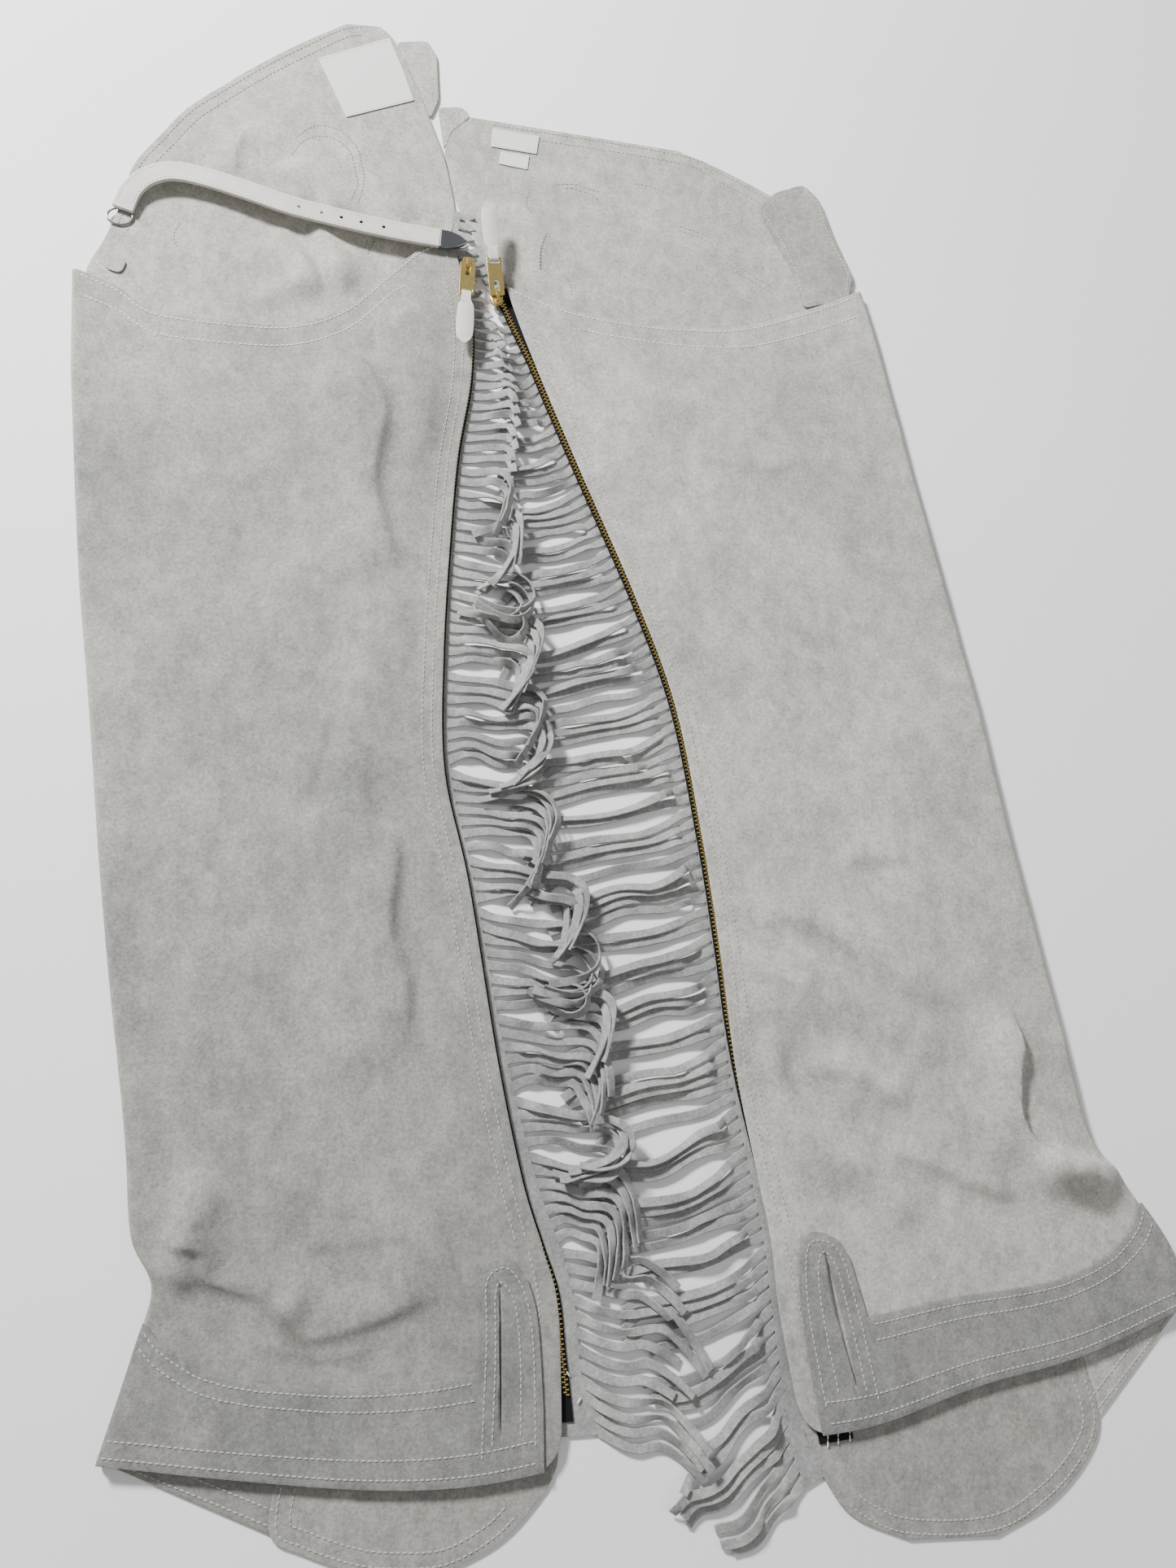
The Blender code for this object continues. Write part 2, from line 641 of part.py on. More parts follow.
def cross_section(half, turn):
    """Half width in plan and height of a strand's section that is turned towards its edge."""
    return (half * math.cos(turn) + STRAND_THICK / 2 * math.sin(turn),
            2 * half * math.sin(turn) + STRAND_THICK * math.cos(turn))


def fringe(panel):
    """The fringe strip along a leg, each strand drawn out of its cut edge."""
    leg = panel.leg
    inner, outer, out = fringe_roots(panel)
    top = STRIP_BOTTOM + STRAND_THICK
    body = loft([[metres(*a, STRIP_BOTTOM), metres(*b, STRIP_BOTTOM), metres(*b, top), metres(*a, top)]
                 for a, b in zip(inner, outer)])
    body.faces.ensure_lookup_table()
    roots = (outer[0::2] + outer[1::2]) / 2
    for number, middle in enumerate(roots):
        ends = (outer[2 * number], outer[2 * number + 1])
        centre = metres(*middle, STRIP_BOTTOM + STRAND_THICK / 2)
        face = min((f for f in body.faces if abs(f.normal.z) < 0.5),
                   key=lambda f: (f.calc_center_median() - centre).length)
        route, levels, turns, halves = strand_route(leg, roots, out[2 * number], number)
        sides = sideways(route)
        first = (ends[1] - ends[0]) / np.linalg.norm(ends[1] - ends[0])
        hand = 1 if np.dot(sides[0], first) > 0 else -1
        draw_strand(body, face, route, levels, sides * hand, turns, halves, ends)
    finish_body("fringe_" + leg.name, body, "suede")


def draw_strand(body, face, route, levels, sides, turns, halves, ends):
    """Extrude a strand along its route from a face of the strip's edge, turning it onto its edge."""
    corners = {}
    for end, side in zip(ends, (-1, 1)):
        corners[(side, -1)] = metres(*end, STRIP_BOTTOM)
        corners[(side, 1)] = metres(*end, STRIP_BOTTOM + STRAND_THICK)
    for k in range(1, len(route)):
        face = bmesh.ops.extrude_discrete_faces(body, faces=[face])["faces"][0]
        turn = turns[k]
        middle = levels[k] + cross_section(halves[k], turn)[1] / 2
        moved = {}
        for side in (-1, 1):
            for layer in (-1, 1):
                along = side * halves[k]
                thick = layer * STRAND_THICK / 2
                aside = along * math.cos(turn) + thick * math.sin(turn)
                up = thick * math.cos(turn) - along * math.sin(turn)
                moved[(side, layer)] = metres(*(route[k] + sides[k] * aside), middle + up)
        for vert in face.verts:
            key = min(corners, key=lambda c: (corners[c] - vert.co).length)
            vert.co = moved[key]
        corners = moved


def box_in(body, low, high):
    """Add a box between two corners, in millimetres, to a mesh under construction."""
    made = bmesh.ops.create_cube(body, size=1)
    for vert in made["verts"]:
        for axis in range(3):
            vert.co[axis] = (low[axis] if vert.co[axis] < 0 else high[axis]) * MM


def box_object(name, low, high, colour):
    body = bmesh.new()
    box_in(body, low, high)
    return finish_body(name, body, colour)


def combine(base, other, operation):
    """Join or cut with a helper, which goes to the cutters."""
    change = base.modifiers.new(operation.lower(), "BOOLEAN")
    change.object = other
    change.operation = operation
    other.hide_render = True
    other.display_type = "WIRE"
    bpy.data.collections["leather_chaps"].objects.unlink(other)
    bpy.data.collections["cutters"].objects.link(other)


def slider_and_pull(pull):
    """Slider with its arch, the slotted pull tab hinged under the arch, and the leather pull."""
    hinge = bpy.data.objects.new("hinge_" + pull.leg, None)
    bpy.data.collections["leather_chaps"].objects.link(hinge)
    hinge.location = metres(pull.x, pull.y, pull.z)
    hinge.rotation_euler = (0, 0, math.radians(pull.heading))

    wide, long, high = SLIDER_BODY
    top = -AXIS_OVER_BODY
    slider = box_object("slider_" + pull.leg, (-wide / 2, -long / 2, top - high), (wide / 2, long / 2, top), "gold")
    reach = ARCH_OPENING / 2 + ARCH_POST
    arch = box_object("arch_" + pull.leg, (-ARCH_WIDTH / 2, -reach, top - 0.5),
                      (ARCH_WIDTH / 2, reach, AXIS_OVER_BODY + ARCH_ROOF), "gold")
    opening = box_object("opening_" + pull.leg, (-ARCH_WIDTH, -ARCH_OPENING / 2, top - 0.3),
                         (ARCH_WIDTH, ARCH_OPENING / 2, AXIS_OVER_BODY), "gold")
    combine(slider, arch, "UNION")
    combine(slider, opening, "DIFFERENCE")

    tab = box_object("pull_tab_" + pull.leg, (-TAB_WIDTH / 2, -BAR / 2, -BAR / 2),
                     (TAB_WIDTH / 2, TAB_LENGTH, BAR / 2), "gold")
    slot = box_object("slot_" + pull.leg, (-TAB_SLOT[0] / 2, BAR / 2, -BAR), (TAB_SLOT[0] / 2, TAB_SLOT[1], BAR),
                      "gold")
    end = TAB_LENGTH - BAR
    window = box_object("window_" + pull.leg, (-TAB_WINDOW[0] / 2, end - TAB_WINDOW[1], -BAR),
                        (TAB_WINDOW[0] / 2, end, BAR), "gold")
    combine(tab, slot, "DIFFERENCE")
    combine(tab, window, "DIFFERENCE")
    leather = leather_pull(pull, end)
    tilt = math.radians(pull.tilt)
    for piece in (slider, arch, opening, tab, slot, window, leather):
        piece.parent = hinge
    for piece in (tab, slot, window, leather):
        piece.rotation_euler = (tilt, 0, 0)


def leather_pull(pull, end):
    """A pointed leather strip, folded through the tab's window."""
    wall = LEATHER_WALL
    lift = BAR / 2 + GAP + wall / 2
    Cut = namedtuple("Cut", "along up half")
    neck = LEATHER_NECK / 2
    route = (
        Cut(end + 9, -lift, neck), Cut(end - 0.3, -lift, neck), Cut(end - 1.7, 0, neck),
        Cut(end - 0.3, lift, neck), Cut(end + 7, lift, neck), Cut(end + 14, lift * 0.6, LEATHER_WIDTH / 2),
        Cut(end + LEATHER_LENGTH - 8, lift * 0.5, LEATHER_WIDTH / 2),
        Cut(end + LEATHER_LENGTH, lift * 0.5, 1.2),
    )
    rings = []
    for k, cut in enumerate(route):
        before = route[max(k - 1, 0)]
        after = route[min(k + 1, len(route) - 1)]
        run = Vector((after.along - before.along, after.up - before.up)).normalized()
        normal = Vector((-run.y, run.x)) * wall / 2
        rings.append([Vector((side * cut.half, cut.along + face * normal.x, cut.up + face * normal.y)) * MM
                      for side, face in ((-1, -1), (1, -1), (1, 1), (-1, 1))])
    return finish_body("leather_pull_" + pull.leg, loft(rings), "strap_leather")


def waist_strap():
    """Two-layer strap over the waist, its metal loop at one end and its pointed tip at the other."""
    route = smooth_curve([tuple(s) for s in STRAP], 22)
    sides = sideways(route)
    half = STRAP_WIDTH / 2
    stations = [(tuple(point), side) for point, side in zip(route, sides)]
    swept("strap", stations, ((-half, 0), (half, 0), (half, STRAP_THICK), (-half, STRAP_THICK)), "strap_leather")

    run = route[-1] - route[-2]
    run /= np.linalg.norm(run[0:2])
    side = sides[-1]
    start = route[-1][0:2] + run[0:2] * GAP
    outline = []
    for along, across in ((0, half), (TIP_LENGTH * 0.45, half * 0.92), (TIP_LENGTH * 0.8, half * 0.5),
                          (TIP_LENGTH, 0), (TIP_LENGTH * 0.8, -half * 0.5), (TIP_LENGTH * 0.45, -half * 0.92),
                          (0, -half)):
        outline.append(start + run[0:2] * along + side * across)
    prism("strap_tip", outline, route[-1][2] - 0.1, STRAP_THICK + 0.2, "steel")

    first = route[0]
    circle = [(first[0] - 2 + RING_RADIUS * math.cos(a), first[1] - 5 + RING_RADIUS * 0.8 * math.sin(a))
              for a in np.linspace(0, 2 * math.pi, 21)[:-1]]
    curve = bpy.data.curves.new("strap_ring_wire", "CURVE")
    curve.dimensions = "3D"
    curve.bevel_depth = RING_WIRE / 2 * MM
    curve.bevel_resolution = 1
    spline = curve.splines.new("POLY")
    spline.points.add(len(circle) - 1)
    for point, (x, y) in zip(spline.points, circle):
        point.co = (*metres(x, y, FRONT_WALL + GAP + RING_WIRE / 2), 1)
    spline.use_cyclic_u = True
    wire = bpy.data.objects.new("strap_ring_wire", curve)
    bpy.data.collections["cutters"].objects.link(wire)
    bpy.context.view_layer.update()
    graph = bpy.context.evaluated_depsgraph_get()
    mesh = bpy.data.meshes.new_from_object(wire.evaluated_get(graph))
    bpy.data.objects.remove(wire)
    mesh.name = "strap_ring"
    mesh.materials.clear()
    add_object("strap_ring", mesh, "steel")


def main():
    for old in list(bpy.data.objects):
        bpy.data.objects.remove(old)
    for name in ("leather_chaps", "cutters"):
        bpy.context.scene.collection.children.link(bpy.data.collections.new(name))
    for leg in LEGS:
        panel = Panel(leg)
        front_panel(panel)
        back_panel(panel)
        hem_band(panel)
        zip_fastener(panel)
        fringe(panel)
    for pull in PULLS:
        slider_and_pull(pull)
    waist_strap()
    for name, outline, bottom, thick, colour in TRIMS:
        prism(name, outline, bottom, thick, colour)


main()
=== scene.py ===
import math
from collections import namedtuple

import bmesh
import bpy
import numpy as np
from mathutils import Matrix, Vector, noise


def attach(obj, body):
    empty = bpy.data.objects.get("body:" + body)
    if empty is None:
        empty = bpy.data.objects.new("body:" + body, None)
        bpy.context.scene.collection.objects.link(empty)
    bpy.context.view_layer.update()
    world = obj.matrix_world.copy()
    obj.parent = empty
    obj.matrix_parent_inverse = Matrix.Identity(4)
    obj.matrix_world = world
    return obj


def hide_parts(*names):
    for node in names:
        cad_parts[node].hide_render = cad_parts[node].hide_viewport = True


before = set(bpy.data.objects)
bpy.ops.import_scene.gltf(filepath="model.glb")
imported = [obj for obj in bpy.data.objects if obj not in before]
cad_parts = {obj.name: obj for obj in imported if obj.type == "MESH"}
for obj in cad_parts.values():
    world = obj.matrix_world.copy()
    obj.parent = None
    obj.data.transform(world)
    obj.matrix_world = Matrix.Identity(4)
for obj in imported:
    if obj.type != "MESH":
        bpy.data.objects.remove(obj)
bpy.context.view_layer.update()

# Plan tables are in millimetres, x to the right and y towards the waist, as in the part's source
MM = 0.001
MIDDLE_X = 173.0
MIDDLE_Y = 275.5
FRONT_WALL = 1.6
BACK_WALL = 1.5
BAND_WALL = 1.2
GAP = 0.3
BACK_TOP = 5.8
FOLD_TOP = 6.8
FOLD_REACH = 18.0
EDGE_INSET = 3.0
BAND_GAP = 0.5
WRAP_AT_CROTCH = 8.0
WRAP_AT_HEM = 96.0
WRAP_DROP = 46.0
SEAM_SHIFT = {"left": (0, 0), "right": (20, 17)}
STRAND_PITCH = 9.0
STRAND_WIDTH = 6.9
STRAND_THICK = 1.4
SEEN_WIDTH = 5.7
STRIP_BOTTOM = 0.3
LAY_GAP = 0.35
RISE = 11.0
NEST = 5
NEST_STEP = 4.5
FLAT_ABOVE_Y = 575.0
NEST_FIRST_Y = 490.0
NEST_LAST_Y = -70.0

Section = namedtuple("Section", "fold_x fold_y zip_x zip_y")
Row = namedtuple("Row", "fold_x fold_y zip_x zip_y")
Fold = namedtuple("Fold", "x0 y0 x1 y1 half_width height")
Hang = namedtuple("Hang", "root_y reach drop bow")
Leg = namedtuple("Leg", "name inward sections top hem waist flare folds creases root hang first last")

LEFT_SECTIONS = (
    Section(-209, 588, 66, 641),
    Section(-206, 520, 79, 580),
    Section(-203, 480, 78, 520),
    Section(-196, 400, 67, 455),
    Section(-189, 330, 60, 385),
    Section(-180, 260, 54, 300),
    Section(-171, 180, 53, 215),
    Section(-158, 80, 68, 135),
    Section(-144, -19, 84, 20),
    Section(-138, -75, 98, -57),
    Section(-125, -104, 110, -100),
    Section(-133, -137, 118, -137),
    Section(-151, -197, 117, -224),
)
RIGHT_SECTIONS = (
    Section(403, 623, 107, 603),
    Section(412, 574, 118, 565),
    Section(421, 510, 138, 505),
    Section(433, 430, 163, 435),
    Section(446, 345, 196, 344),
    Section(458, 265, 220, 262),
    Section(470, 165, 233, 165),
    Section(481, 85, 240, 85),
    Section(492, 5, 245, 5),
    Section(499, -50, 254, -62),
    Section(519, -82, 260, -105),
    Section(545, -125, 262, -150),
    Section(555, -166, 271, -222),
)
LEFT_TOP = ((-209, 588), (-181, 577), (-152, 559), (-88, 554), (-47, 558), (-12, 576), (19, 608), (44, 632),
            (66, 641))
RIGHT_TOP = ((403, 623), (343, 597), (290, 581), (223, 578), (157, 585), (107, 603))
LEFT_HEM = ((-151, -197), (-79, -211), (0, -224), (60, -228), (117, -224))
RIGHT_HEM = ((555, -166), (473, -190), (395, -202), (324, -218), (271, -222))
LEFT_WAIST = (
    Row(-15, 841, 12, 842),
    Row(-50, 817, 24, 828),
    Row(-82, 792, 36, 797),
    Row(-110, 767, 46, 770),
    Row(-135, 743, 54, 745),
    Row(-153, 717, 61, 722),
    Row(-172, 686, 66, 695),
    Row(-179, 653, 69, 670),
    Row(-189, 620, 67, 655),
)
RIGHT_WAIST = (
    Row(255, 750, 84, 762),
    Row(293, 735, 68, 745),
    Row(330, 716, 62, 726),
    Row(362, 698, 66.6, 703),
    Row(380, 676, 71, 678),
    Row(392, 650, 84, 648),
    Row(398, 636, 99, 622),
)
LEFT_FLARE = (Row(-37, -255, 97, -246), Row(-8, -267, 76, -262), Row(17, -272, 47, -273))
RIGHT_FLARE = (Row(466, -253, 288, -255), Row(436, -276, 303, -272), Row(396, -291, 336, -287))

LEFT_FOLDS = (
    Fold(28, 560, 40, 470, 24, 5.0),
    Fold(-20, 500, 10, 380, 22, 4.0),
    Fold(8, 330, -12, 215, 20, 4.5),
    Fold(-30, 170, -6, 40, 24, 4.0),
    Fold(-104, -55, -112, -96, 14, 8.0),
    Fold(-96, -66, -50, -118, 15, 7.0),
    Fold(-44, -58, 24, -96, 24, 3.6),
    Fold(-170, 150, -160, 60, 20, 3.0),
)
RIGHT_FOLDS = (
    Fold(300, 60, 380, 20, 22, 5.0),
    Fold(330, -10, 420, -50, 20, 5.0),
    Fold(440, 10, 476, -70, 18, 7.0),
    Fold(470, -70, 508, -84, 13, 9.0),
    Fold(290, -40, 350, -80, 20, 4.0),
    Fold(210, 520, 330, 470, 30, 3.0),
    Fold(280, 300, 380, 240, 30, 3.0),
)
# Soft folds in the waist's bare leather
WAIST_FOLDS = {
    "left": (Fold(-2, 716, 26, 672, 13, 4.0), Fold(-112, 640, -96, 606, 22, 2.2), Fold(-66, 742, -84, 706, 20, 2.0),
             Fold(-40, 600, -10, 618, 14, 1.6)),
    "right": (Fold(128, 660, 122, 618, 22, 2.0), Fold(196, 690, 240, 660, 26, 1.8), Fold(250, 626, 300, 610, 18, 1.6),
              Fold(150, 706, 182, 716, 16, 1.2)),
}
Crease = namedtuple("Crease", "height steep soft side points")
WAIST_CREASES = {
    "left": (
        Crease(3.6, 4, 16, 1, ((-84, 706), (-68, 692), (-55, 688), (-45, 677), (-37, 662))),
        Crease(6.0, 7, 16, -1, ((-66, 704), (-52, 692), (-38, 678), (-27, 662), (-22, 646))),
        Crease(3.8, 4, 18, 1, ((-66, 646), (-54, 628), (-44, 612), (-38, 596), (-33, 576))),
        Crease(7.0, 8, 12, -1, ((-40, 662), (-34, 640), (-25, 622), (-18, 604), (-10, 584))),
        Crease(2.4, 4, 9, 1, ((-84, 574), (-66, 588), (-48, 594), (-40, 584))),
        Crease(2.8, 4, 12, 1, ((-92, 730), (-98, 706), (-99, 684))),
    ),
    "right": (
        Crease(1.4, 5, 14, 1, ((128, 700), (123, 684), (130, 668), (138, 650), (134, 626))),
        Crease(1.6, 6, 20, -1, ((250, 640), (276, 646), (304, 640))),
    ),
}
# Creases that only show here: one flank falls steeply, on the left of the run where side is 1, the other softly
LEFT_CREASES = (
    Crease(4.4, 6, 26, 1, ((-40, 556), (-8, 528), (11, 488), (3, 433), (11, 390), (24, 350))),
    Crease(2.2, 5, 16, 1, ((-46, 378), (-26, 340), (-3, 303))),
    Crease(1.8, 5, 16, 1, ((-24, 270), (-34, 225), (-46, 184))),
    Crease(4.8, 6, 24, 1, ((-10, 214), (-1, 179), (17, 160), (13, 105), (24, 68), (20, 20))),
    Crease(3.2, 4, 12, -1, ((-132, -70), (-116, -80), (-99, -85), (-95, -101), (-79, -108), (-56, -116))),
    Crease(3.4, 6, 20, -1, ((-72, -110), (-56, -117), (-37, -136), (-7, -133), (24, -124), (46, -116))),
    Crease(1.4, 5, 12, -1, ((-72, -133), (-50, -143), (-24, -150), (8, -147))),
    Crease(0.7, 4, 12, -1, ((-50, -88), (0, -85), (40, -84))),
)
RIGHT_CREASES = (
    Crease(6.2, 10, 22, -1, ((256, 112), (300, 108), (345, 84), (382, 56), (414, 34))),
    Crease(4.4, 8, 16, 1, ((268, 38), (278, -19), (307, -55), (344, -68))),
    Crease(4.4, 8, 16, -1, ((284, 6), (328, 0), (370, -26))),
    Crease(4.6, 7, 14, -1, ((340, -46), (390, -67), (446, -92))),
    Crease(2.2, 6, 16, -1, ((330, 144), (360, 149), (392, 149))),
    Crease(8.0, 3, 18, 1, ((448, 50), (455, 14), (447, -6), (446, -36), (458, -57), (484, -66), (530, -78))),
    Crease(1.4, 4, 12, -1, ((246, 72), (282, 66), (306, 48))),
    Crease(1.2, 5, 20, -1, ((250, 470), (300, 455), (350, 470))),
)

LEFT_ROOT = ((722, 4), (400, 5), (60, 7), (-100, 13), (-170, 15), (-212, 26))
RIGHT_ROOT = ((640, 5), (300, 6), (0, 6), (-150, 6), (-210, 10), (-262, 16))
LEFT_HANG = (
    Hang(650, 8, 4, 0),
    Hang(600, 9, 5, 0),
    Hang(560, 18, 7, 0),
    Hang(520, 32, 4, 0),
    Hang(490, 38, 0, 0),
    Hang(460, 44, 0, -1),
    Hang(393, 50, 0, -2),
    Hang(303, 70, 0, -3),
    Hang(184, 80, 0, -4),
    Hang(43, 78, 0, -4),
    Hang(-76, 64, 0, -2),
    Hang(-130, 56, 10, 0),
    Hang(-160, 52, 22, 0),
    Hang(-185, 49, 28, 0),
    Hang(-215, 46, 28, 0),
)
RIGHT_HANG = (
    Hang(650, 7, 4, 0),
    Hang(600, 8, 5, 0),
    Hang(560, 11, 8, 0),
    Hang(500, 30, 18, 2),
    Hang(400, 74, 20, 6),
    Hang(300, 108, 22, 9),
    Hang(200, 132, 16, 8),
    Hang(60, 126, 10, 6),
    Hang(-60, 112, 16, 7),
    Hang(-140, 100, 24, 7),
    Hang(-185, 90, 32, 4),
    Hang(-225, 80, 30, 2),
    Hang(-262, 62, 27, 0),
)
LEGS = (
    Leg("left", 1, LEFT_SECTIONS, LEFT_TOP, LEFT_HEM, LEFT_WAIST, LEFT_FLARE, LEFT_FOLDS, LEFT_CREASES,
        LEFT_ROOT, LEFT_HANG, 672, -212),
    Leg("right", -1, RIGHT_SECTIONS, RIGHT_TOP, RIGHT_HEM, RIGHT_WAIST, RIGHT_FLARE, RIGHT_FOLDS, RIGHT_CREASES,
        RIGHT_ROOT, RIGHT_HANG, 642, -253),
)
BAND_EDGE = ((-0.012, 0.892), (0, 0.893), (0.035, 0.903), (0.08, 0.912), (0.14, 0.921), (0.21, 0.926),
             (0.29, 0.929), (0.45, 0.931), (0.61, 0.931), (0.77, 0.931), (0.795, 0.931), (0.801, 0.905),
             (0.806, 0.882), (0.82, 0.869), (0.85, 0.862), (0.888, 0.861), (0.92, 0.867), (0.938, 0.882),
             (0.946, 0.905), (0.951, 0.935), (0.956, 0.965))
BAND_FOOT = (-0.012, 0, 0.035, 0.08, 0.14, 0.21, 0.29, 0.45, 0.61, 0.77, 0.8, 0.82, 0.835, 0.85, 0.87,
             0.89, 0.91, 0.925, 0.94, 0.95, 0.957)
SLIT_ACROSS = 0.868
SLIT_DOWN = (0.88, 0.975)
SLIT_WIDTH = {"left": 1.4, "right": 4.0}
DOWN = tuple(np.linspace(0, 0.78, 17)) + (0.81, 0.835, 0.86, 0.885, 0.91, 0.935, 0.965, 1)
ZIP_PLACE = {
    "left": ((0.035, -1.0), (0.4, -1.6), (0.85, -1.6), (0.93, 0.6), (0.975, 5.0)),
    "right": ((0.0, 8.0), (0.03, 6.0), (0.09, 2.2), (0.3, 1.4), (0.7, 0.4), (0.9, -6.0), (1.006, -14.0)),
}
TAPE_BOTTOM = 2.1
TAPE_THICK = 0.6
TAPE_IN = 11.0
TAPE_OUT = 2.8
CHAIN_TOP = 4.05


def metres(points):
    """Plan points in millimetres as model points in metres."""
    return (np.asarray(points, float) - (MIDDLE_X, MIDDLE_Y, 0)) * MM


def smooth_step(value):
    value = np.clip(value, 0, 1)
    return value * value * (3 - 2 * value)


def smooth_curve(points, count):
    """count points, evenly spaced in plan, on a smooth curve through the given ones."""
    knots = np.array(points, float)
    knots = np.vstack([2 * knots[0] - knots[1], knots, 2 * knots[-1] - knots[-2]])
    dense = []
    for a, b, c, d in zip(knots[:-3], knots[1:-2], knots[2:-1], knots[3:]):
        for t in np.linspace(0, 1, 16, endpoint=False):
            dense.append(0.5 * (2 * b + (c - a) * t + (2 * a - 5 * b + 4 * c - d) * t * t
                                + (3 * b - a - 3 * c + d) * t ** 3))
    dense.append(knots[-2])
    return resample(np.array(dense), count)


def resample(line, count):
    """A polyline again, with count points evenly spaced along it in plan."""
    line = np.asarray(line, float)
    travelled = np.concatenate([[0], np.cumsum(np.linalg.norm(np.diff(line[:, 0:2], axis=0), axis=1))])
    wanted = np.linspace(0, travelled[-1], count)
    return np.column_stack([np.interp(wanted, travelled, line[:, k]) for k in range(line.shape[1])])


def scatter(number):
    """A repeatable uneven value from -1 to 1."""
    return 2 * ((math.sin(number * 12.9898 + 4.1) * 43758.5453) % 1) - 1


def relief(folds, x, y):
    """Height of soft ridges at plan points."""
    total = np.zeros(np.shape(x))
    for fold in folds:
        run = np.array([fold.x1 - fold.x0, fold.y1 - fold.y0], float)
        share = np.clip(((x - fold.x0) * run[0] + (y - fold.y0) * run[1]) / np.dot(run, run), 0, 1)
        away = np.hypot(x - fold.x0 - share * run[0], y - fold.y0 - share * run[1])
        total = total + fold.height * np.exp(-(away / fold.half_width) ** 2)
    return total


def crumple(creases, x, y):
    """Height of the creases' uneven flanks at plan points."""
    total = np.zeros(np.shape(x))
    for crease in creases:
        points = smooth_curve(crease.points, 24)
        best = np.full(np.shape(x), 1e6)
        signed = np.zeros(np.shape(x))
        share_at = np.zeros(np.shape(x))
        for k, (start, end) in enumerate(zip(points[:-1], points[1:])):
            run = end - start
            share = np.clip(((x - start[0]) * run[0] + (y - start[1]) * run[1]) / np.dot(run, run), 0, 1)
            away_x = x - start[0] - share * run[0]
            away_y = y - start[1] - share * run[1]
            away = np.hypot(away_x, away_y)
            nearer = away < best
            best = np.where(nearer, away, best)
            signed = np.where(nearer, np.sign(run[0] * away_y - run[1] * away_x) * away * crease.side, signed)
            share_at = np.where(nearer, (k + share) / (len(points) - 1), share_at)
        taper = smooth_step(share_at / 0.25) * smooth_step((1 - share_at) / 0.25)
        width = np.where(signed > 0, crease.steep, crease.soft)
        total = total + crease.height * taper * np.exp(-(signed / width) ** 2)
    return total


def waviness(x, y):
    """Slow unevenness of leather that lies loose, from 0 to about 1."""
    waves = ((0.045, 0.02, 0.3), (-0.03, 0.05, 1.7), (0.07, -0.035, 4.1), (0.018, 0.083, 2.2), (0.1, 0.06, 5.0))
    total = sum(np.sin(a * x + b * y + c) for a, b, c in waves)
    return 0.5 + 0.12 * total


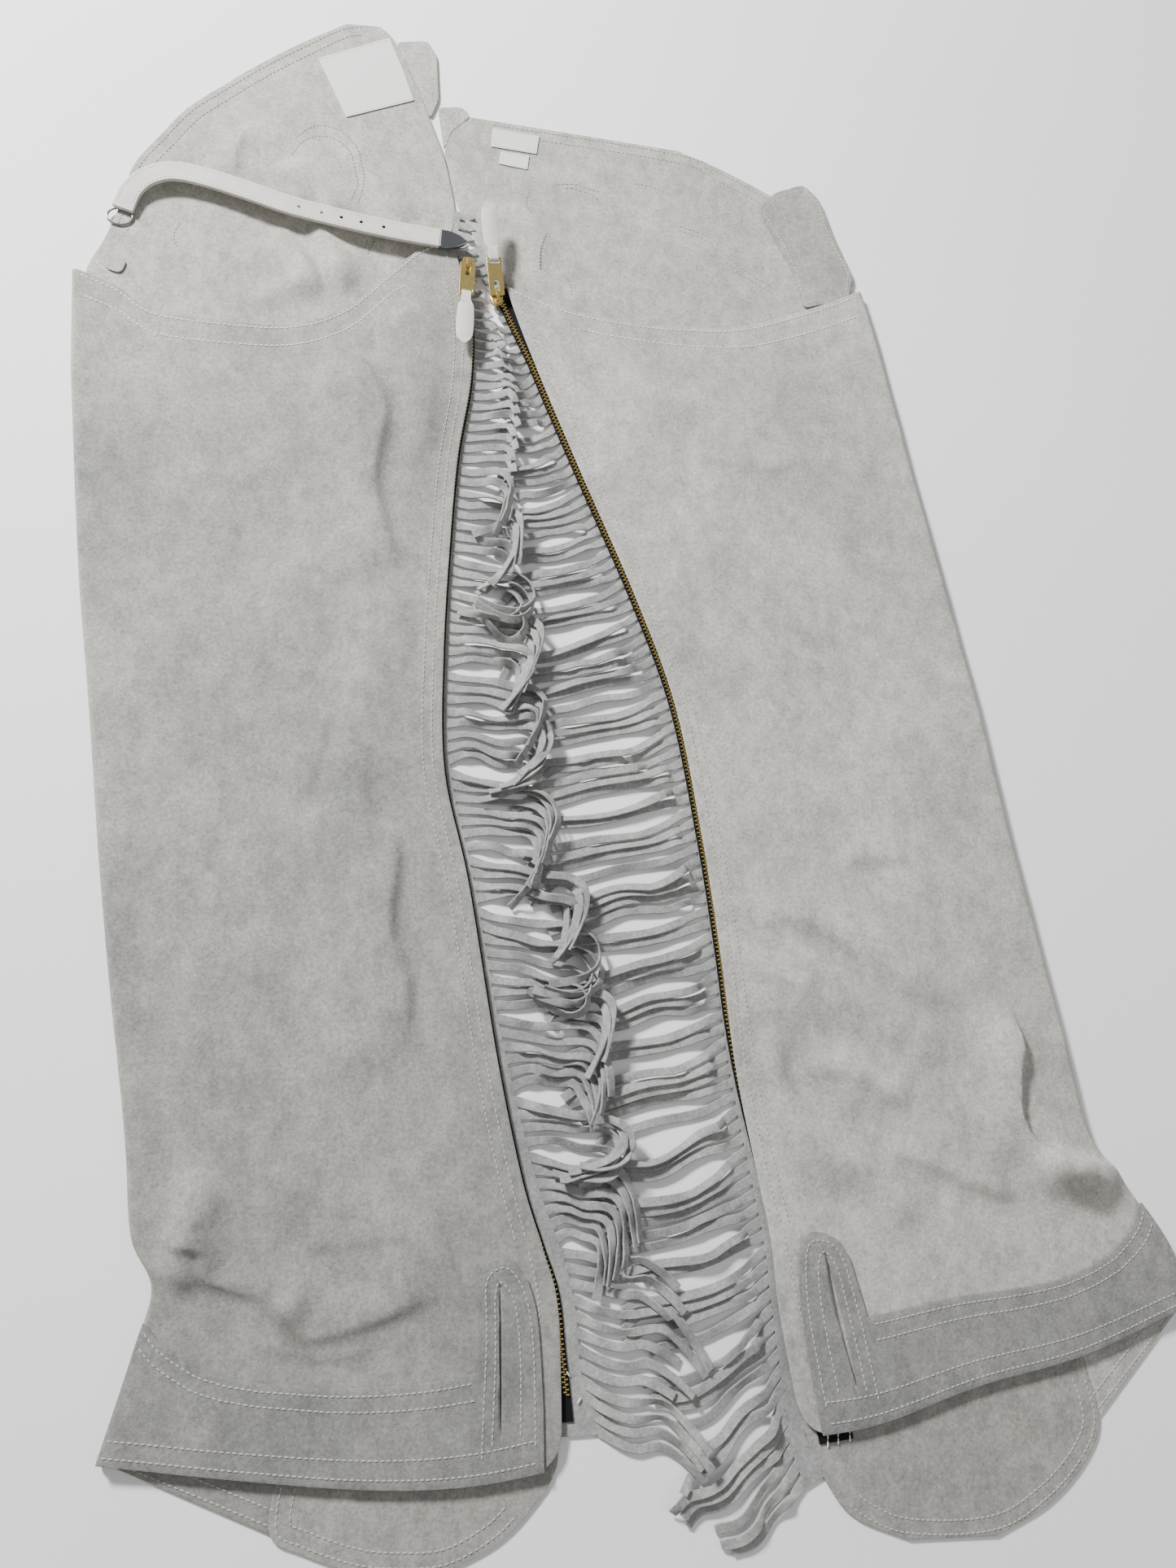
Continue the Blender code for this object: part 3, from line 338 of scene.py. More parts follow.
class Panel:
    """The back panel's outer surface: shares across and down the leg give a plan point and a height."""

    SAMPLES = 241

    def __init__(self, leg):
        self.leg = leg
        edges = smooth_curve4(leg.sections, self.SAMPLES)
        self.fold = edges[:, 0:2]
        self.zip = edges[:, 2:4]
        self.top = smooth_curve(leg.top, self.SAMPLES)
        self.hem = smooth_curve(leg.hem, self.SAMPLES)

    def along(self, curve, share):
        place = np.clip(share, 0, 1) * (self.SAMPLES - 1)
        steps = np.arange(self.SAMPLES)
        return np.stack([np.interp(place, steps, curve[:, 0]), np.interp(place, steps, curve[:, 1])], axis=-1)

    def plan(self, across, down):
        across, down = np.broadcast_arrays(np.asarray(across, float), np.asarray(down, float))
        past = across < 0
        a = np.abs(across)[..., None]
        d = down[..., None]
        fold = self.along(self.fold, down)
        corners = ((1 - d) * ((1 - a) * self.top[0] + a * self.top[-1])
                   + d * ((1 - a) * self.hem[0] + a * self.hem[-1]))
        inside = ((1 - a) * fold + a * self.along(self.zip, down) + (1 - d) * self.along(self.top, np.abs(across))
                  + d * self.along(self.hem, np.abs(across)) - corners)
        return np.where(past[..., None], 2 * fold - inside, inside)

    def height(self, across, down):
        across, down = np.broadcast_arrays(np.asarray(across, float), np.asarray(down, float))
        spot = self.plan(across, down)
        x, y = spot[..., 0], spot[..., 1]
        width = np.linalg.norm(self.along(self.zip, down) - self.along(self.fold, down), axis=-1)
        flat = BACK_TOP + (FOLD_TOP - BACK_TOP) * np.exp(-(np.clip(across, 0, 1) * width / FOLD_REACH) ** 2)
        band = np.interp(across, [p[0] for p in BAND_EDGE[1:11]], [p[1] for p in BAND_EDGE[1:11]])
        band = np.where(across > 0.77, 0.86, band)
        calm = smooth_step((band - 0.004 - down) / 0.05) * smooth_step((1 - across) * width / 28 - 0.2)
        near = smooth_step((band - 0.004 - down) / 0.02) * smooth_step((1 - across) * width / 24 - 0.3)
        fine = crumple(self.leg.creases, x, y) * near + 1.2 * waviness(x, y) * calm
        return flat + relief(self.leg.folds, x, y) * calm + fine

    def surface(self, across, down, lift=0.0):
        """Points over the back panel's outer face, in millimetres."""
        spot = self.plan(across, down)
        ease = FOLD_TOP / 2 * (1 - np.asarray(across, float)) * self.leg.inward
        high = self.height(np.maximum(across, 0), down) + lift
        return np.stack(np.broadcast_arrays(spot[..., 0] + ease, spot[..., 1], high), axis=-1)

    def seam(self, down):
        """Where the leather that turns under meets the front panel."""
        fold = self.along(self.fold, down)
        reach = WRAP_AT_CROTCH + (WRAP_AT_HEM - WRAP_AT_CROTCH) * np.asarray(down, float)
        low = smooth_step((np.asarray(down) - 0.9) / 0.1)
        aside, below = SEAM_SHIFT[self.leg.name]
        return np.stack([fold[..., 0] + self.leg.inward * reach + aside * low,
                         fold[..., 1] - (WRAP_DROP + below) * low], axis=-1)

    def inset(self, down, distance):
        """Share across that lies a distance in from the zip edge."""
        width = np.linalg.norm(self.along(self.zip, down) - self.along(self.fold, down), axis=-1)
        return 1 - distance / width

    def lowered(self, across, distance):
        """Share down that lies a distance below the thigh edge."""
        length = np.linalg.norm(self.plan(across, 1.0) - self.plan(across, 0.0), axis=-1)
        return distance / length


def smooth_curve4(sections, count):
    """Both edges of a leg together, evenly spaced by the fold and zip edges' shared length."""
    knots = np.array(sections, float)
    knots = np.vstack([2 * knots[0] - knots[1], knots, 2 * knots[-1] - knots[-2]])
    dense = []
    for a, b, c, d in zip(knots[:-3], knots[1:-2], knots[2:-1], knots[3:]):
        for t in np.linspace(0, 1, 16, endpoint=False):
            dense.append(0.5 * (2 * b + (c - a) * t + (2 * a - 5 * b + 4 * c - d) * t * t
                                + (3 * b - a - 3 * c + d) * t ** 3))
    dense.append(knots[-2])
    dense = np.array(dense)
    travelled = np.concatenate([[0], np.cumsum(np.linalg.norm(np.diff(dense, axis=0), axis=1))])
    wanted = np.linspace(0, travelled[-1], count)
    return np.column_stack([np.interp(wanted, travelled, dense[:, k]) for k in range(dense.shape[1])])


# Materials


class Look:
    """A procedural material under construction."""

    def __init__(self, name, roughness, metallic=0.0, sheen=0.0, specular=0.5):
        self.material = bpy.data.materials.new(name)
        self.material.use_nodes = True
        self.tree = self.material.node_tree
        self.shader = self.tree.nodes["Principled BSDF"]
        self.shader.inputs["Roughness"].default_value = roughness
        self.shader.inputs["Metallic"].default_value = metallic
        self.shader.inputs["Sheen Weight"].default_value = sheen
        self.shader.inputs["Sheen Roughness"].default_value = 0.6
        self.shader.inputs["Specular IOR Level"].default_value = specular
        self.place = self.tree.nodes.new("ShaderNodeTexCoord").outputs["Object"]

    def noise(self, scale, detail=3.0, rough=0.5, stretch=(1, 1, 1)):
        node = self.tree.nodes.new("ShaderNodeTexNoise")
        node.inputs["Scale"].default_value = scale
        node.inputs["Detail"].default_value = detail
        node.inputs["Roughness"].default_value = rough
        source = self.place
        if stretch != (1, 1, 1):
            mapping = self.tree.nodes.new("ShaderNodeMapping")
            mapping.inputs["Scale"].default_value = stretch
            self.tree.links.new(source, mapping.inputs["Vector"])
            source = mapping.outputs["Vector"]
        self.tree.links.new(source, node.inputs["Vector"])
        return node.outputs["Fac"]

    def ramp(self, value, *stops):
        node = self.tree.nodes.new("ShaderNodeValToRGB")
        node.color_ramp.elements[0].position = stops[0][0]
        node.color_ramp.elements[0].color = (*stops[0][1], 1)
        node.color_ramp.elements[1].position = stops[-1][0]
        node.color_ramp.elements[1].color = (*stops[-1][1], 1)
        for position, colour in stops[1:-1]:
            node.color_ramp.elements.new(position).color = (*colour, 1)
        self.tree.links.new(value, node.inputs["Fac"])
        return node.outputs["Color"]

    def upward(self, low, high):
        """From 0 to 1 between two places along the leg, from hem to waist."""
        split = self.tree.nodes.new("ShaderNodeSeparateXYZ")
        self.tree.links.new(self.place, split.inputs["Vector"])
        node = self.tree.nodes.new("ShaderNodeMapRange")
        node.inputs["From Min"].default_value = low
        node.inputs["From Max"].default_value = high
        self.tree.links.new(split.outputs["Y"], node.inputs["Value"])
        return node.outputs["Result"]

    def multiply(self, a, b, share=1.0):
        node = self.tree.nodes.new("ShaderNodeMix")
        node.data_type = "RGBA"
        node.blend_type = "MULTIPLY"
        node.inputs["Factor"].default_value = share
        self.tree.links.new(a, node.inputs["A"])
        self.tree.links.new(b, node.inputs["B"])
        return node.outputs["Result"]

    def colour(self, output):
        self.tree.links.new(output, self.shader.inputs["Base Color"])

    def roughness(self, value, low, high):
        node = self.tree.nodes.new("ShaderNodeMapRange")
        node.inputs["To Min"].default_value = low
        node.inputs["To Max"].default_value = high
        self.tree.links.new(value, node.inputs["Value"])
        self.tree.links.new(node.outputs["Result"], self.shader.inputs["Roughness"])

    def bump(self, value, strength, distance):
        node = self.tree.nodes.new("ShaderNodeBump")
        node.inputs["Strength"].default_value = strength
        node.inputs["Distance"].default_value = distance
        self.tree.links.new(value, node.inputs["Height"])
        held = self.shader.inputs["Normal"]
        if held.is_linked:
            self.tree.links.new(held.links[0].from_socket, node.inputs["Normal"])
        self.tree.links.new(node.outputs["Normal"], held)


def grey(value):
    return (value, value, value)


def suede(name, light, dark, nap=1.0, painted_hem_shade=1.0):
    """Napped leather: cloudy patches where the nap lies differently, over a fine fibrous grain, with painted shade
    that darkens it towards the hem where asked.
    """
    look = Look(name, 0.95, sheen=0.10, specular=0.12)
    base = look.ramp(look.noise(7, 6, 0.65), (0.35, dark), (0.65, light))
    patches = look.ramp(look.noise(80, 6, 0.75, (1, 0.7, 1)), (0.36, grey(0.77)), (0.64, grey(1.09)))
    grain = look.ramp(look.noise(430, 5, 0.8), (0.34, grey(0.66)), (0.66, grey(1.22)))
    # Painted shade: the colour darkens towards the hem, standing in for light that falls off lower down the leg.
    if painted_hem_shade < 1:
        base = look.multiply(base, look.ramp(look.upward(-0.50, -0.20), (0.0, grey(painted_hem_shade)), (1.0, grey(1.0))))
    look.colour(look.multiply(look.multiply(base, patches), grain, 0.9))
    look.bump(look.noise(150, 5, 0.65), 0.35 * nap, 0.0008)
    look.bump(look.noise(1100, 4, 0.75), 0.7 * nap, 0.0005)
    return look.material


def plain(name, light, dark, scale, roughness, bump=0.2, **more):
    """A nearly even surface with slight tone variation and grain."""
    look = Look(name, roughness, **more)
    look.colour(look.ramp(look.noise(scale, 4, 0.6), (0.3, dark), (0.7, light)))
    look.bump(look.noise(scale * 6, 3, 0.6), bump, 0.0002)
    return look.material


def woven(name, light, dark, pitch):
    """Cloth with fine threads both ways."""
    look = Look(name, 0.9, specular=0.2)
    waves = []
    for direction in ("X", "Y"):
        node = look.tree.nodes.new("ShaderNodeTexWave")
        node.bands_direction = direction
        node.inputs["Scale"].default_value = pitch
        node.inputs["Distortion"].default_value = 0.6
        look.tree.links.new(look.place, node.inputs["Vector"])
        waves.append(look.ramp(node.outputs["Fac"], (0.2, dark), (0.8, light)))
    look.colour(look.multiply(*waves, 0.6))
    look.bump(waves[0], 0.3, 0.0002)
    look.bump(waves[1], 0.3, 0.0002)
    return look.material


def metal(name, colour, roughness):
    look = Look(name, roughness, metallic=1.0)
    wear = look.noise(300, 5, 0.7)
    look.colour(look.ramp(look.noise(60, 4, 0.6), (0.2, tuple(c * 0.8 for c in colour)), (0.8, colour)))
    look.roughness(wear, roughness * 0.6, roughness * 1.6)
    look.bump(look.noise(900, 3, 0.6), 0.08, 0.0001)
    return look.material


LOOKS = {
    # Painted shade: the plain suede copy, used for the hem bands, is darker than the legs' leather, standing in for
    # the dimmer light low on the legs.
    "suede": suede("suede_outer", (0.300, 0.294, 0.278), (0.212, 0.211, 0.206)),
    # Painted light and shade: the left and right legs' outer leather are darker and lighter copies of one suede,
    # standing in for light that falls more on the right leg.
    "suede_left": suede("suede_outer_left_painted_shade", (0.415, 0.402, 0.366), (0.290, 0.286, 0.270), 1.0, 0.84),
    "suede_right": suede("suede_outer_right_painted_light", (0.545, 0.526, 0.478), (0.380, 0.373, 0.350)),
    "suede_inside": suede("suede_inner", (0.500, 0.482, 0.436), (0.400, 0.390, 0.361), 0.8, 0.74),
    "fringe": suede("suede_fringe", (0.385, 0.384, 0.374), (0.275, 0.277, 0.276)),
    "strap_leather": plain("strap_leather_look", (0.66, 0.63, 0.57), (0.56, 0.54, 0.50), 90, 0.7, specular=0.3),
    "thread": plain("thread_white", (0.86, 0.85, 0.80), (0.74, 0.73, 0.69), 900, 0.8),
    "thread_grey": plain("thread_grey", (0.50, 0.49, 0.465), (0.38, 0.375, 0.36), 900, 0.8),
    "needle": plain("needle_marks_look", (0.20, 0.19, 0.17), (0.13, 0.12, 0.11), 900, 0.9),
    "tape": woven("zip_tape_black", (0.020, 0.021, 0.026), (0.006, 0.006, 0.008), 900),
    "gold": metal("gold_metal", (0.86, 0.66, 0.25), 0.24),
    "gunmetal": metal("gunmetal", (0.30, 0.31, 0.33), 0.18),
    "label": woven("label_white", (0.88, 0.88, 0.86), (0.74, 0.74, 0.73), 1500),
}


# Mesh helpers


def finish_object(name, mesh, look, body="chaps", smooth=True):
    made = bpy.data.objects.new(name, mesh)
    mesh.materials.clear()
    mesh.materials.append(LOOKS[look])
    if smooth:
        for polygon in mesh.polygons:
            polygon.use_smooth = True
        mesh.set_sharp_from_angle(angle=math.radians(38))
    bpy.context.scene.collection.objects.link(made)
    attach(made, body)
    return made


def sheet_mesh(name, grid, thickness, look, flip=False):
    """A wall through a grid of outer points in millimetres: rows run down the leg, columns across it."""
    grid = np.asarray(grid, float)
    rows, columns = grid.shape[0:2]
    index = np.arange(rows * columns).reshape(rows, columns)
    faces = np.stack([index[:-1, :-1], index[1:, :-1], index[1:, 1:], index[:-1, 1:]], axis=-1).reshape(-1, 4)
    mesh = bpy.data.meshes.new(name)
    mesh.from_pydata(metres(grid.reshape(-1, 3)).tolist(), [], faces.tolist())
    if flip:
        mesh.flip_normals()
    made = finish_object(name, mesh, look)
    wall = made.modifiers.new("wall", "SOLIDIFY")
    wall.thickness = thickness * MM
    wall.offset = -1
    wall.use_quality_normals = True
    soft = made.modifiers.new("soft_edge", "BEVEL")
    soft.width = 0.3 * MM
    soft.segments = 2
    soft.limit_method = "ANGLE"
    soft.angle_limit = math.radians(50)
    return made


def bake_modifiers(made):
    """Replace an object's mesh by the evaluated one."""
    bpy.context.view_layer.update()
    graph = bpy.context.evaluated_depsgraph_get()
    mesh = bpy.data.meshes.new_from_object(made.evaluated_get(graph))
    made.modifiers.clear()
    made.data = mesh
    return made


def rings_mesh(name, rings, look, body="chaps", smooth=True, closed=False):
    """A closed body through rings of points in millimetres."""
    shape = bmesh.new()
    add_rings(shape, rings, closed)
    mesh = bpy.data.meshes.new(name)
    shape.to_mesh(mesh)
    shape.free()
    return finish_object(name, mesh, look, body, smooth)


def add_rings(shape, rings, closed=False):
    placed = [[shape.verts.new(point) for point in metres(ring)] for ring in rings]
    made = []
    pairs = list(zip(placed[:-1], placed[1:]))
    if closed:
        pairs.append((placed[-1], placed[0]))
    for a, b in pairs:
        for k in range(len(a)):
            made.append(shape.faces.new((a[k], a[k - 1], b[k - 1], b[k])))
    if not closed:
        made.append(shape.faces.new(placed[0]))
        made.append(shape.faces.new(list(reversed(placed[-1]))))
    bmesh.ops.recalc_face_normals(shape, faces=made)


def stitches(name, routes, pitch=3.7, length=2.7, width=0.95, high=0.45, look="thread"):
    """Rows of short raised threads along routes of points in millimetres."""
    shape = bmesh.new()
    for route in routes:
        route = np.asarray(route, float)
        travelled = np.concatenate([[0], np.cumsum(np.linalg.norm(np.diff(route, axis=0), axis=1))])
        count = int(travelled[-1] // pitch)
        for k in range(count):
            start = k * pitch
            a, b = [np.array([np.interp(start + s, travelled, route[:, i]) for i in range(3)]) for s in (0, length)]
            run = (b - a) / max(np.linalg.norm(b - a), 1e-6)
            side = np.array([run[1], -run[0], 0])
            rings = []
            for share, size in ((0, 0.45), (0.25, 1), (0.75, 1), (1, 0.45)):
                centre = a + (b - a) * share
                w = width / 2 * size
                h = high * size
                rings.append([centre + side * w + (0, 0, -0.15), centre + side * w * 0.7 + (0, 0, h),
                              centre - side * w * 0.7 + (0, 0, h), centre - side * w + (0, 0, -0.15)])
            add_rings(shape, rings)
    mesh = bpy.data.meshes.new(name)
    shape.to_mesh(mesh)
    shape.free()
    return finish_object(name, mesh, look)


# Cloth panels


def surface_area(made):
    """Area of one face of a thin piece, in square metres."""
    bpy.context.view_layer.update()
    mesh = made.evaluated_get(bpy.context.evaluated_depsgraph_get()).to_mesh()
    return sum(polygon.area for polygon in mesh.polygons) / 2


def declare_sheet(made, with_pieces=()):
    """Measure the area of one face of a piece of leather or cloth; nothing is done with it."""
    area = surface_area(made)


def front_rows(panel):
    leg = panel.leg
    rows = [(np.array(row[0:2], float), np.array(row[2:4], float)) for row in leg.waist]
    shift = np.array([leg.inward * GAP, 0])
    inset = np.array([-leg.inward * EDGE_INSET, 0])
    for down in DOWN:
        rows.append((panel.seam(down) + shift, panel.along(panel.zip, down) + inset))
    rows += [(np.array(row[0:2], float), np.array(row[2:4], float)) for row in leg.flare]
    return rows


def dense_rows(rows):
    """Rows of a panel with smoothly curved edges between the given ones."""
    knots = np.vstack([2 * rows[0] - rows[1], rows, 2 * rows[-1] - rows[-2]])
    dense = []
    for a, b, c, d in zip(knots[:-3], knots[1:-2], knots[2:-1], knots[3:]):
        steps = max(int(np.abs(c - b).max() / 5), 1)
        for t in np.linspace(0, 1, steps, endpoint=False):
            dense.append(0.5 * (2 * b + (c - a) * t + (2 * a - 5 * b + 4 * c - d) * t * t
                                + (3 * b - a - 3 * c + d) * t ** 3))
    dense.append(rows[-1])
    return dense


def waist_height(leg, x, y):
    """Height of the waist's upper face with its folds and creases."""
    return FRONT_WALL + relief(WAIST_FOLDS[leg.name], x, y) + crumple(WAIST_CREASES[leg.name], x, y)


def front_panel(panel):
    """The flat front panel, inner side up, with its waist and rounded flare."""
    leg = panel.leg
    rows = dense_rows(np.array([np.concatenate(row) for row in front_rows(panel)]))
    share = np.linspace(0, 1, 100)
    grid = []
    for row in rows:
        spots = row[0:2] + (row[2:4] - row[0:2]) * share[:, None]
        calm = smooth_step(share / 0.2) * smooth_step((1 - share) / 0.2)
        high = FRONT_WALL + calm * (waist_height(leg, spots[:, 0], spots[:, 1]) - FRONT_WALL)
        grid.append(np.column_stack([spots, high]))
    made = sheet_mesh("front_" + leg.name, grid, FRONT_WALL, "suede_inside",
                      flip=leg.inward < 0)
    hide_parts("front_panel_" + leg.name)
    return made


def back_panel(panel):
    """Top sheet, turn at the inseam fold, and the leather under the leg up to its seam."""
    leg = panel.leg
    radius = FOLD_TOP / 2
    across = 1 - np.linspace(0, 1, 112)
    down = np.concatenate([np.linspace(0, 0.78, 215), np.linspace(0.783, 1, 110)])
    corner = np.clip((across - 0.935) / 0.065, 0, 1)
    limit = 1 - 0.021 * (1 - np.sqrt(1 - corner ** 2))
    pulled = down[:, None] * np.where(down[:, None] > 0.93, 1 + (limit - 1) * (down[:, None] - 0.93) / 0.07, 1)
    top = panel.surface(across[None, :], pulled)
    fold = panel.along(panel.fold, down)
    crest = panel.height(np.zeros(len(down)), down)
    turn = crest / 2
    columns = [top]
    for angle in np.linspace(0, math.pi, 11)[1:]:
        x = fold[:, 0] + leg.inward * (radius - radius * math.sin(angle))
        columns.append(np.stack([x, fold[:, 1], turn + turn * math.cos(angle)], axis=-1)[:, None, :])
    seam = panel.seam(down)
    start = fold + (leg.inward * radius, 0)
    for share in np.linspace(0, 1, 13)[1:]:
        spots = start + (seam - start) * share
        columns.append(np.column_stack([spots, np.zeros(len(down))])[:, None, :])
    made = sheet_mesh("back_" + leg.name, np.concatenate(columns, axis=1), BACK_WALL, "suede_" + leg.name,
                      flip=leg.inward > 0)
    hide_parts("back_panel_" + leg.name)
    return made


def band_lines(count):
    """The band's upper edge and foot, evenly sampled, as shares across and down."""
    edge = np.array(BAND_EDGE)
    scaled = edge * (0.3, 1)
    travelled = np.concatenate([[0], np.cumsum(np.linalg.norm(np.diff(scaled, axis=0), axis=1))])
    wanted = np.unique(np.concatenate([travelled, np.linspace(0, travelled[-1], count)]))
    upper = np.column_stack([np.interp(wanted, travelled, edge[:, k]) for k in (0, 1)])
    foot = np.interp(wanted, travelled, BAND_FOOT)
    return upper, foot


def hem_band(panel):
    """The band with its round tongue and slit."""
    leg = panel.leg
    upper, foot = band_lines(110)
    rows = []
    for share in np.linspace(0, 1, 16):
        across = upper[:, 0] + (foot - upper[:, 0]) * share
        down = upper[:, 1] + (1 - upper[:, 1]) * share
        rows.append(panel.surface(across, down, BAND_GAP + BAND_WALL))
    made = sheet_mesh("band_" + leg.name, rows, BAND_WALL, "suede", flip=leg.inward < 0)
    top = panel.plan(SLIT_ACROSS, SLIT_DOWN[0])
    end = panel.plan(SLIT_ACROSS - 0.01, SLIT_DOWN[1])
    run = (end - top) / np.linalg.norm(end - top)
    side = np.array([-run[1], run[0]])
    outline = []
    for sign, shares in ((1, np.linspace(0, 1, 9)), (-1, np.linspace(1, 0, 9)[1:-1])):
        for share in shares:
            half = SLIT_WIDTH[leg.name] / 2 * math.sin(math.pi * min(share, 1)) ** 0.8
            outline.append(top + (end - top) * share + side * sign * half)
    rings = [[(x, y, z) for x, y in outline] for z in (BACK_TOP - 1, BACK_TOP + 6)]
    cutter = rings_mesh("slit_cutter", rings, "suede")
    cut = made.modifiers.new("slit", "BOOLEAN")
    cut.object = cutter
    bake_modifiers(made)
    bpy.data.objects.remove(cutter)
    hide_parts("hem_band_" + leg.name)
    return made


# Fringe


def fringe_roots(panel):
    """Points every half pitch along the cut edge: inner edge, outer edge and outward direction."""
    leg = panel.leg
    edge = np.array([zip_side for seam_side, zip_side in front_rows(panel)])
    edge = edge[(edge[:, 1] <= leg.first + 30) & (edge[:, 1] >= leg.last - 12)]
    travelled = np.concatenate([[0], np.cumsum(np.linalg.norm(np.diff(edge, axis=0), axis=1))])
    start = np.interp(-leg.first, -edge[:, 1], travelled)
    end = np.interp(-leg.last, -edge[:, 1], travelled)
    strands = int((end - start) // STRAND_PITCH)
    gap = STRAND_PITCH - STRAND_WIDTH
    places = []
    for k in range(strands):
        places += [start + k * STRAND_PITCH + gap / 2, start + (k + 1) * STRAND_PITCH - gap / 2]
    line = np.column_stack([np.interp(places, travelled, edge[:, k]) for k in (0, 1)])
    wide = np.column_stack([np.interp(np.array(places) + d, travelled, edge[:, k])
                            for d in (-25, 25) for k in (0, 1)])
    tangent = wide[:, 2:4] - wide[:, 0:2]
    tangent /= np.linalg.norm(tangent, axis=1)[:, None]
    out = np.column_stack([-tangent[:, 1], tangent[:, 0]]) * leg.inward
    widths = np.interp(-line[:, 1], [-r[0] for r in leg.root], [r[1] for r in leg.root])
    inner = line + out * (GAP + 0.2)
    return inner, inner + out * widths[:, None], out


class Pile:
    """Heights, in millimetres, of what has been laid so far on a fine grid in plan."""

    LOW = np.array((-60.0, -330.0))
    SIZE = (420, 1080)

    def __init__(self):
        self.top = np.full(self.SIZE, STRIP_BOTTOM)

    def cells(self, spots):
        place = np.rint(spots - self.LOW).astype(int)
        return (np.clip(place[..., 0], 0, self.SIZE[0] - 1), np.clip(place[..., 1], 0, self.SIZE[1] - 1))

    def under(self, spots):
        return self.top[self.cells(spots)]

    def add(self, spots, heights):
        np.maximum.at(self.top, self.cells(spots), heights)


Hook = namedtuple("Hook", "run radius angle tail turn")


def arc_route(start, first, hook, hand, waves, middle=None):
    """Plan points a millimetre apart: a gently waving run, then a bend away from the waist, then a tail."""
    size, length, phase = waves
    count = int(hook.run)
    travelled = np.linspace(0, hook.run, count)
    ease = smooth_step(travelled / 25)
    heading = np.interp(travelled, (0, hook.run * 0.3, hook.run * 0.7, hook.run),
                        (first, first * 0.6, 0.2 * first if middle is None else middle, 0.0))
    heading = soften(heading, 5)
    swing = size * 2 * math.pi / length * np.cos(travelled * 2 * math.pi / length + phase) * ease
    headings = [heading + swing]
    bend = int(hook.radius * hook.angle)
    if bend > 2:
        share = np.linspace(0, 1, bend)
        headings.append(headings[0][-1] + hook.angle * (share - 0.12 * np.sin(2 * math.pi * share)))
    tail = int(hook.tail)
    if tail > 2:
        headings.append(headings[-1][-1] + 0.25 * np.linspace(0, 1, tail))
    heading = np.concatenate(headings)
    steps = np.column_stack([hand * np.cos(heading), -np.sin(heading)])
    route = start + np.vstack([[0, 0], np.cumsum(steps, axis=0)[:-1]])
    turns = np.concatenate([np.zeros(count), np.ones(len(heading) - count)])
    return route, turns


def hang(leg, y, field):
    return np.interp(-y, [-row.root_y for row in leg.hang], [getattr(row, field) for row in leg.hang])


CLUMPS = {"left": (5, 3, 6, 4, 7, 3, 5, 4, 6, 3, 5, 7, 4), "right": (3, 2, 4, 1, 3, 5, 2, 3, 1, 4, 2, 3)}


def clump_of(name, number):
    """The clump that a strand belongs to, its place in it, the clump's first strand and its size."""
    first = 0
    clump = 0
    while True:
        size = CLUMPS[name][clump % len(CLUMPS[name])]
        if number < first + size:
            return clump, number - first, first, size
        first += size
        clump += 1


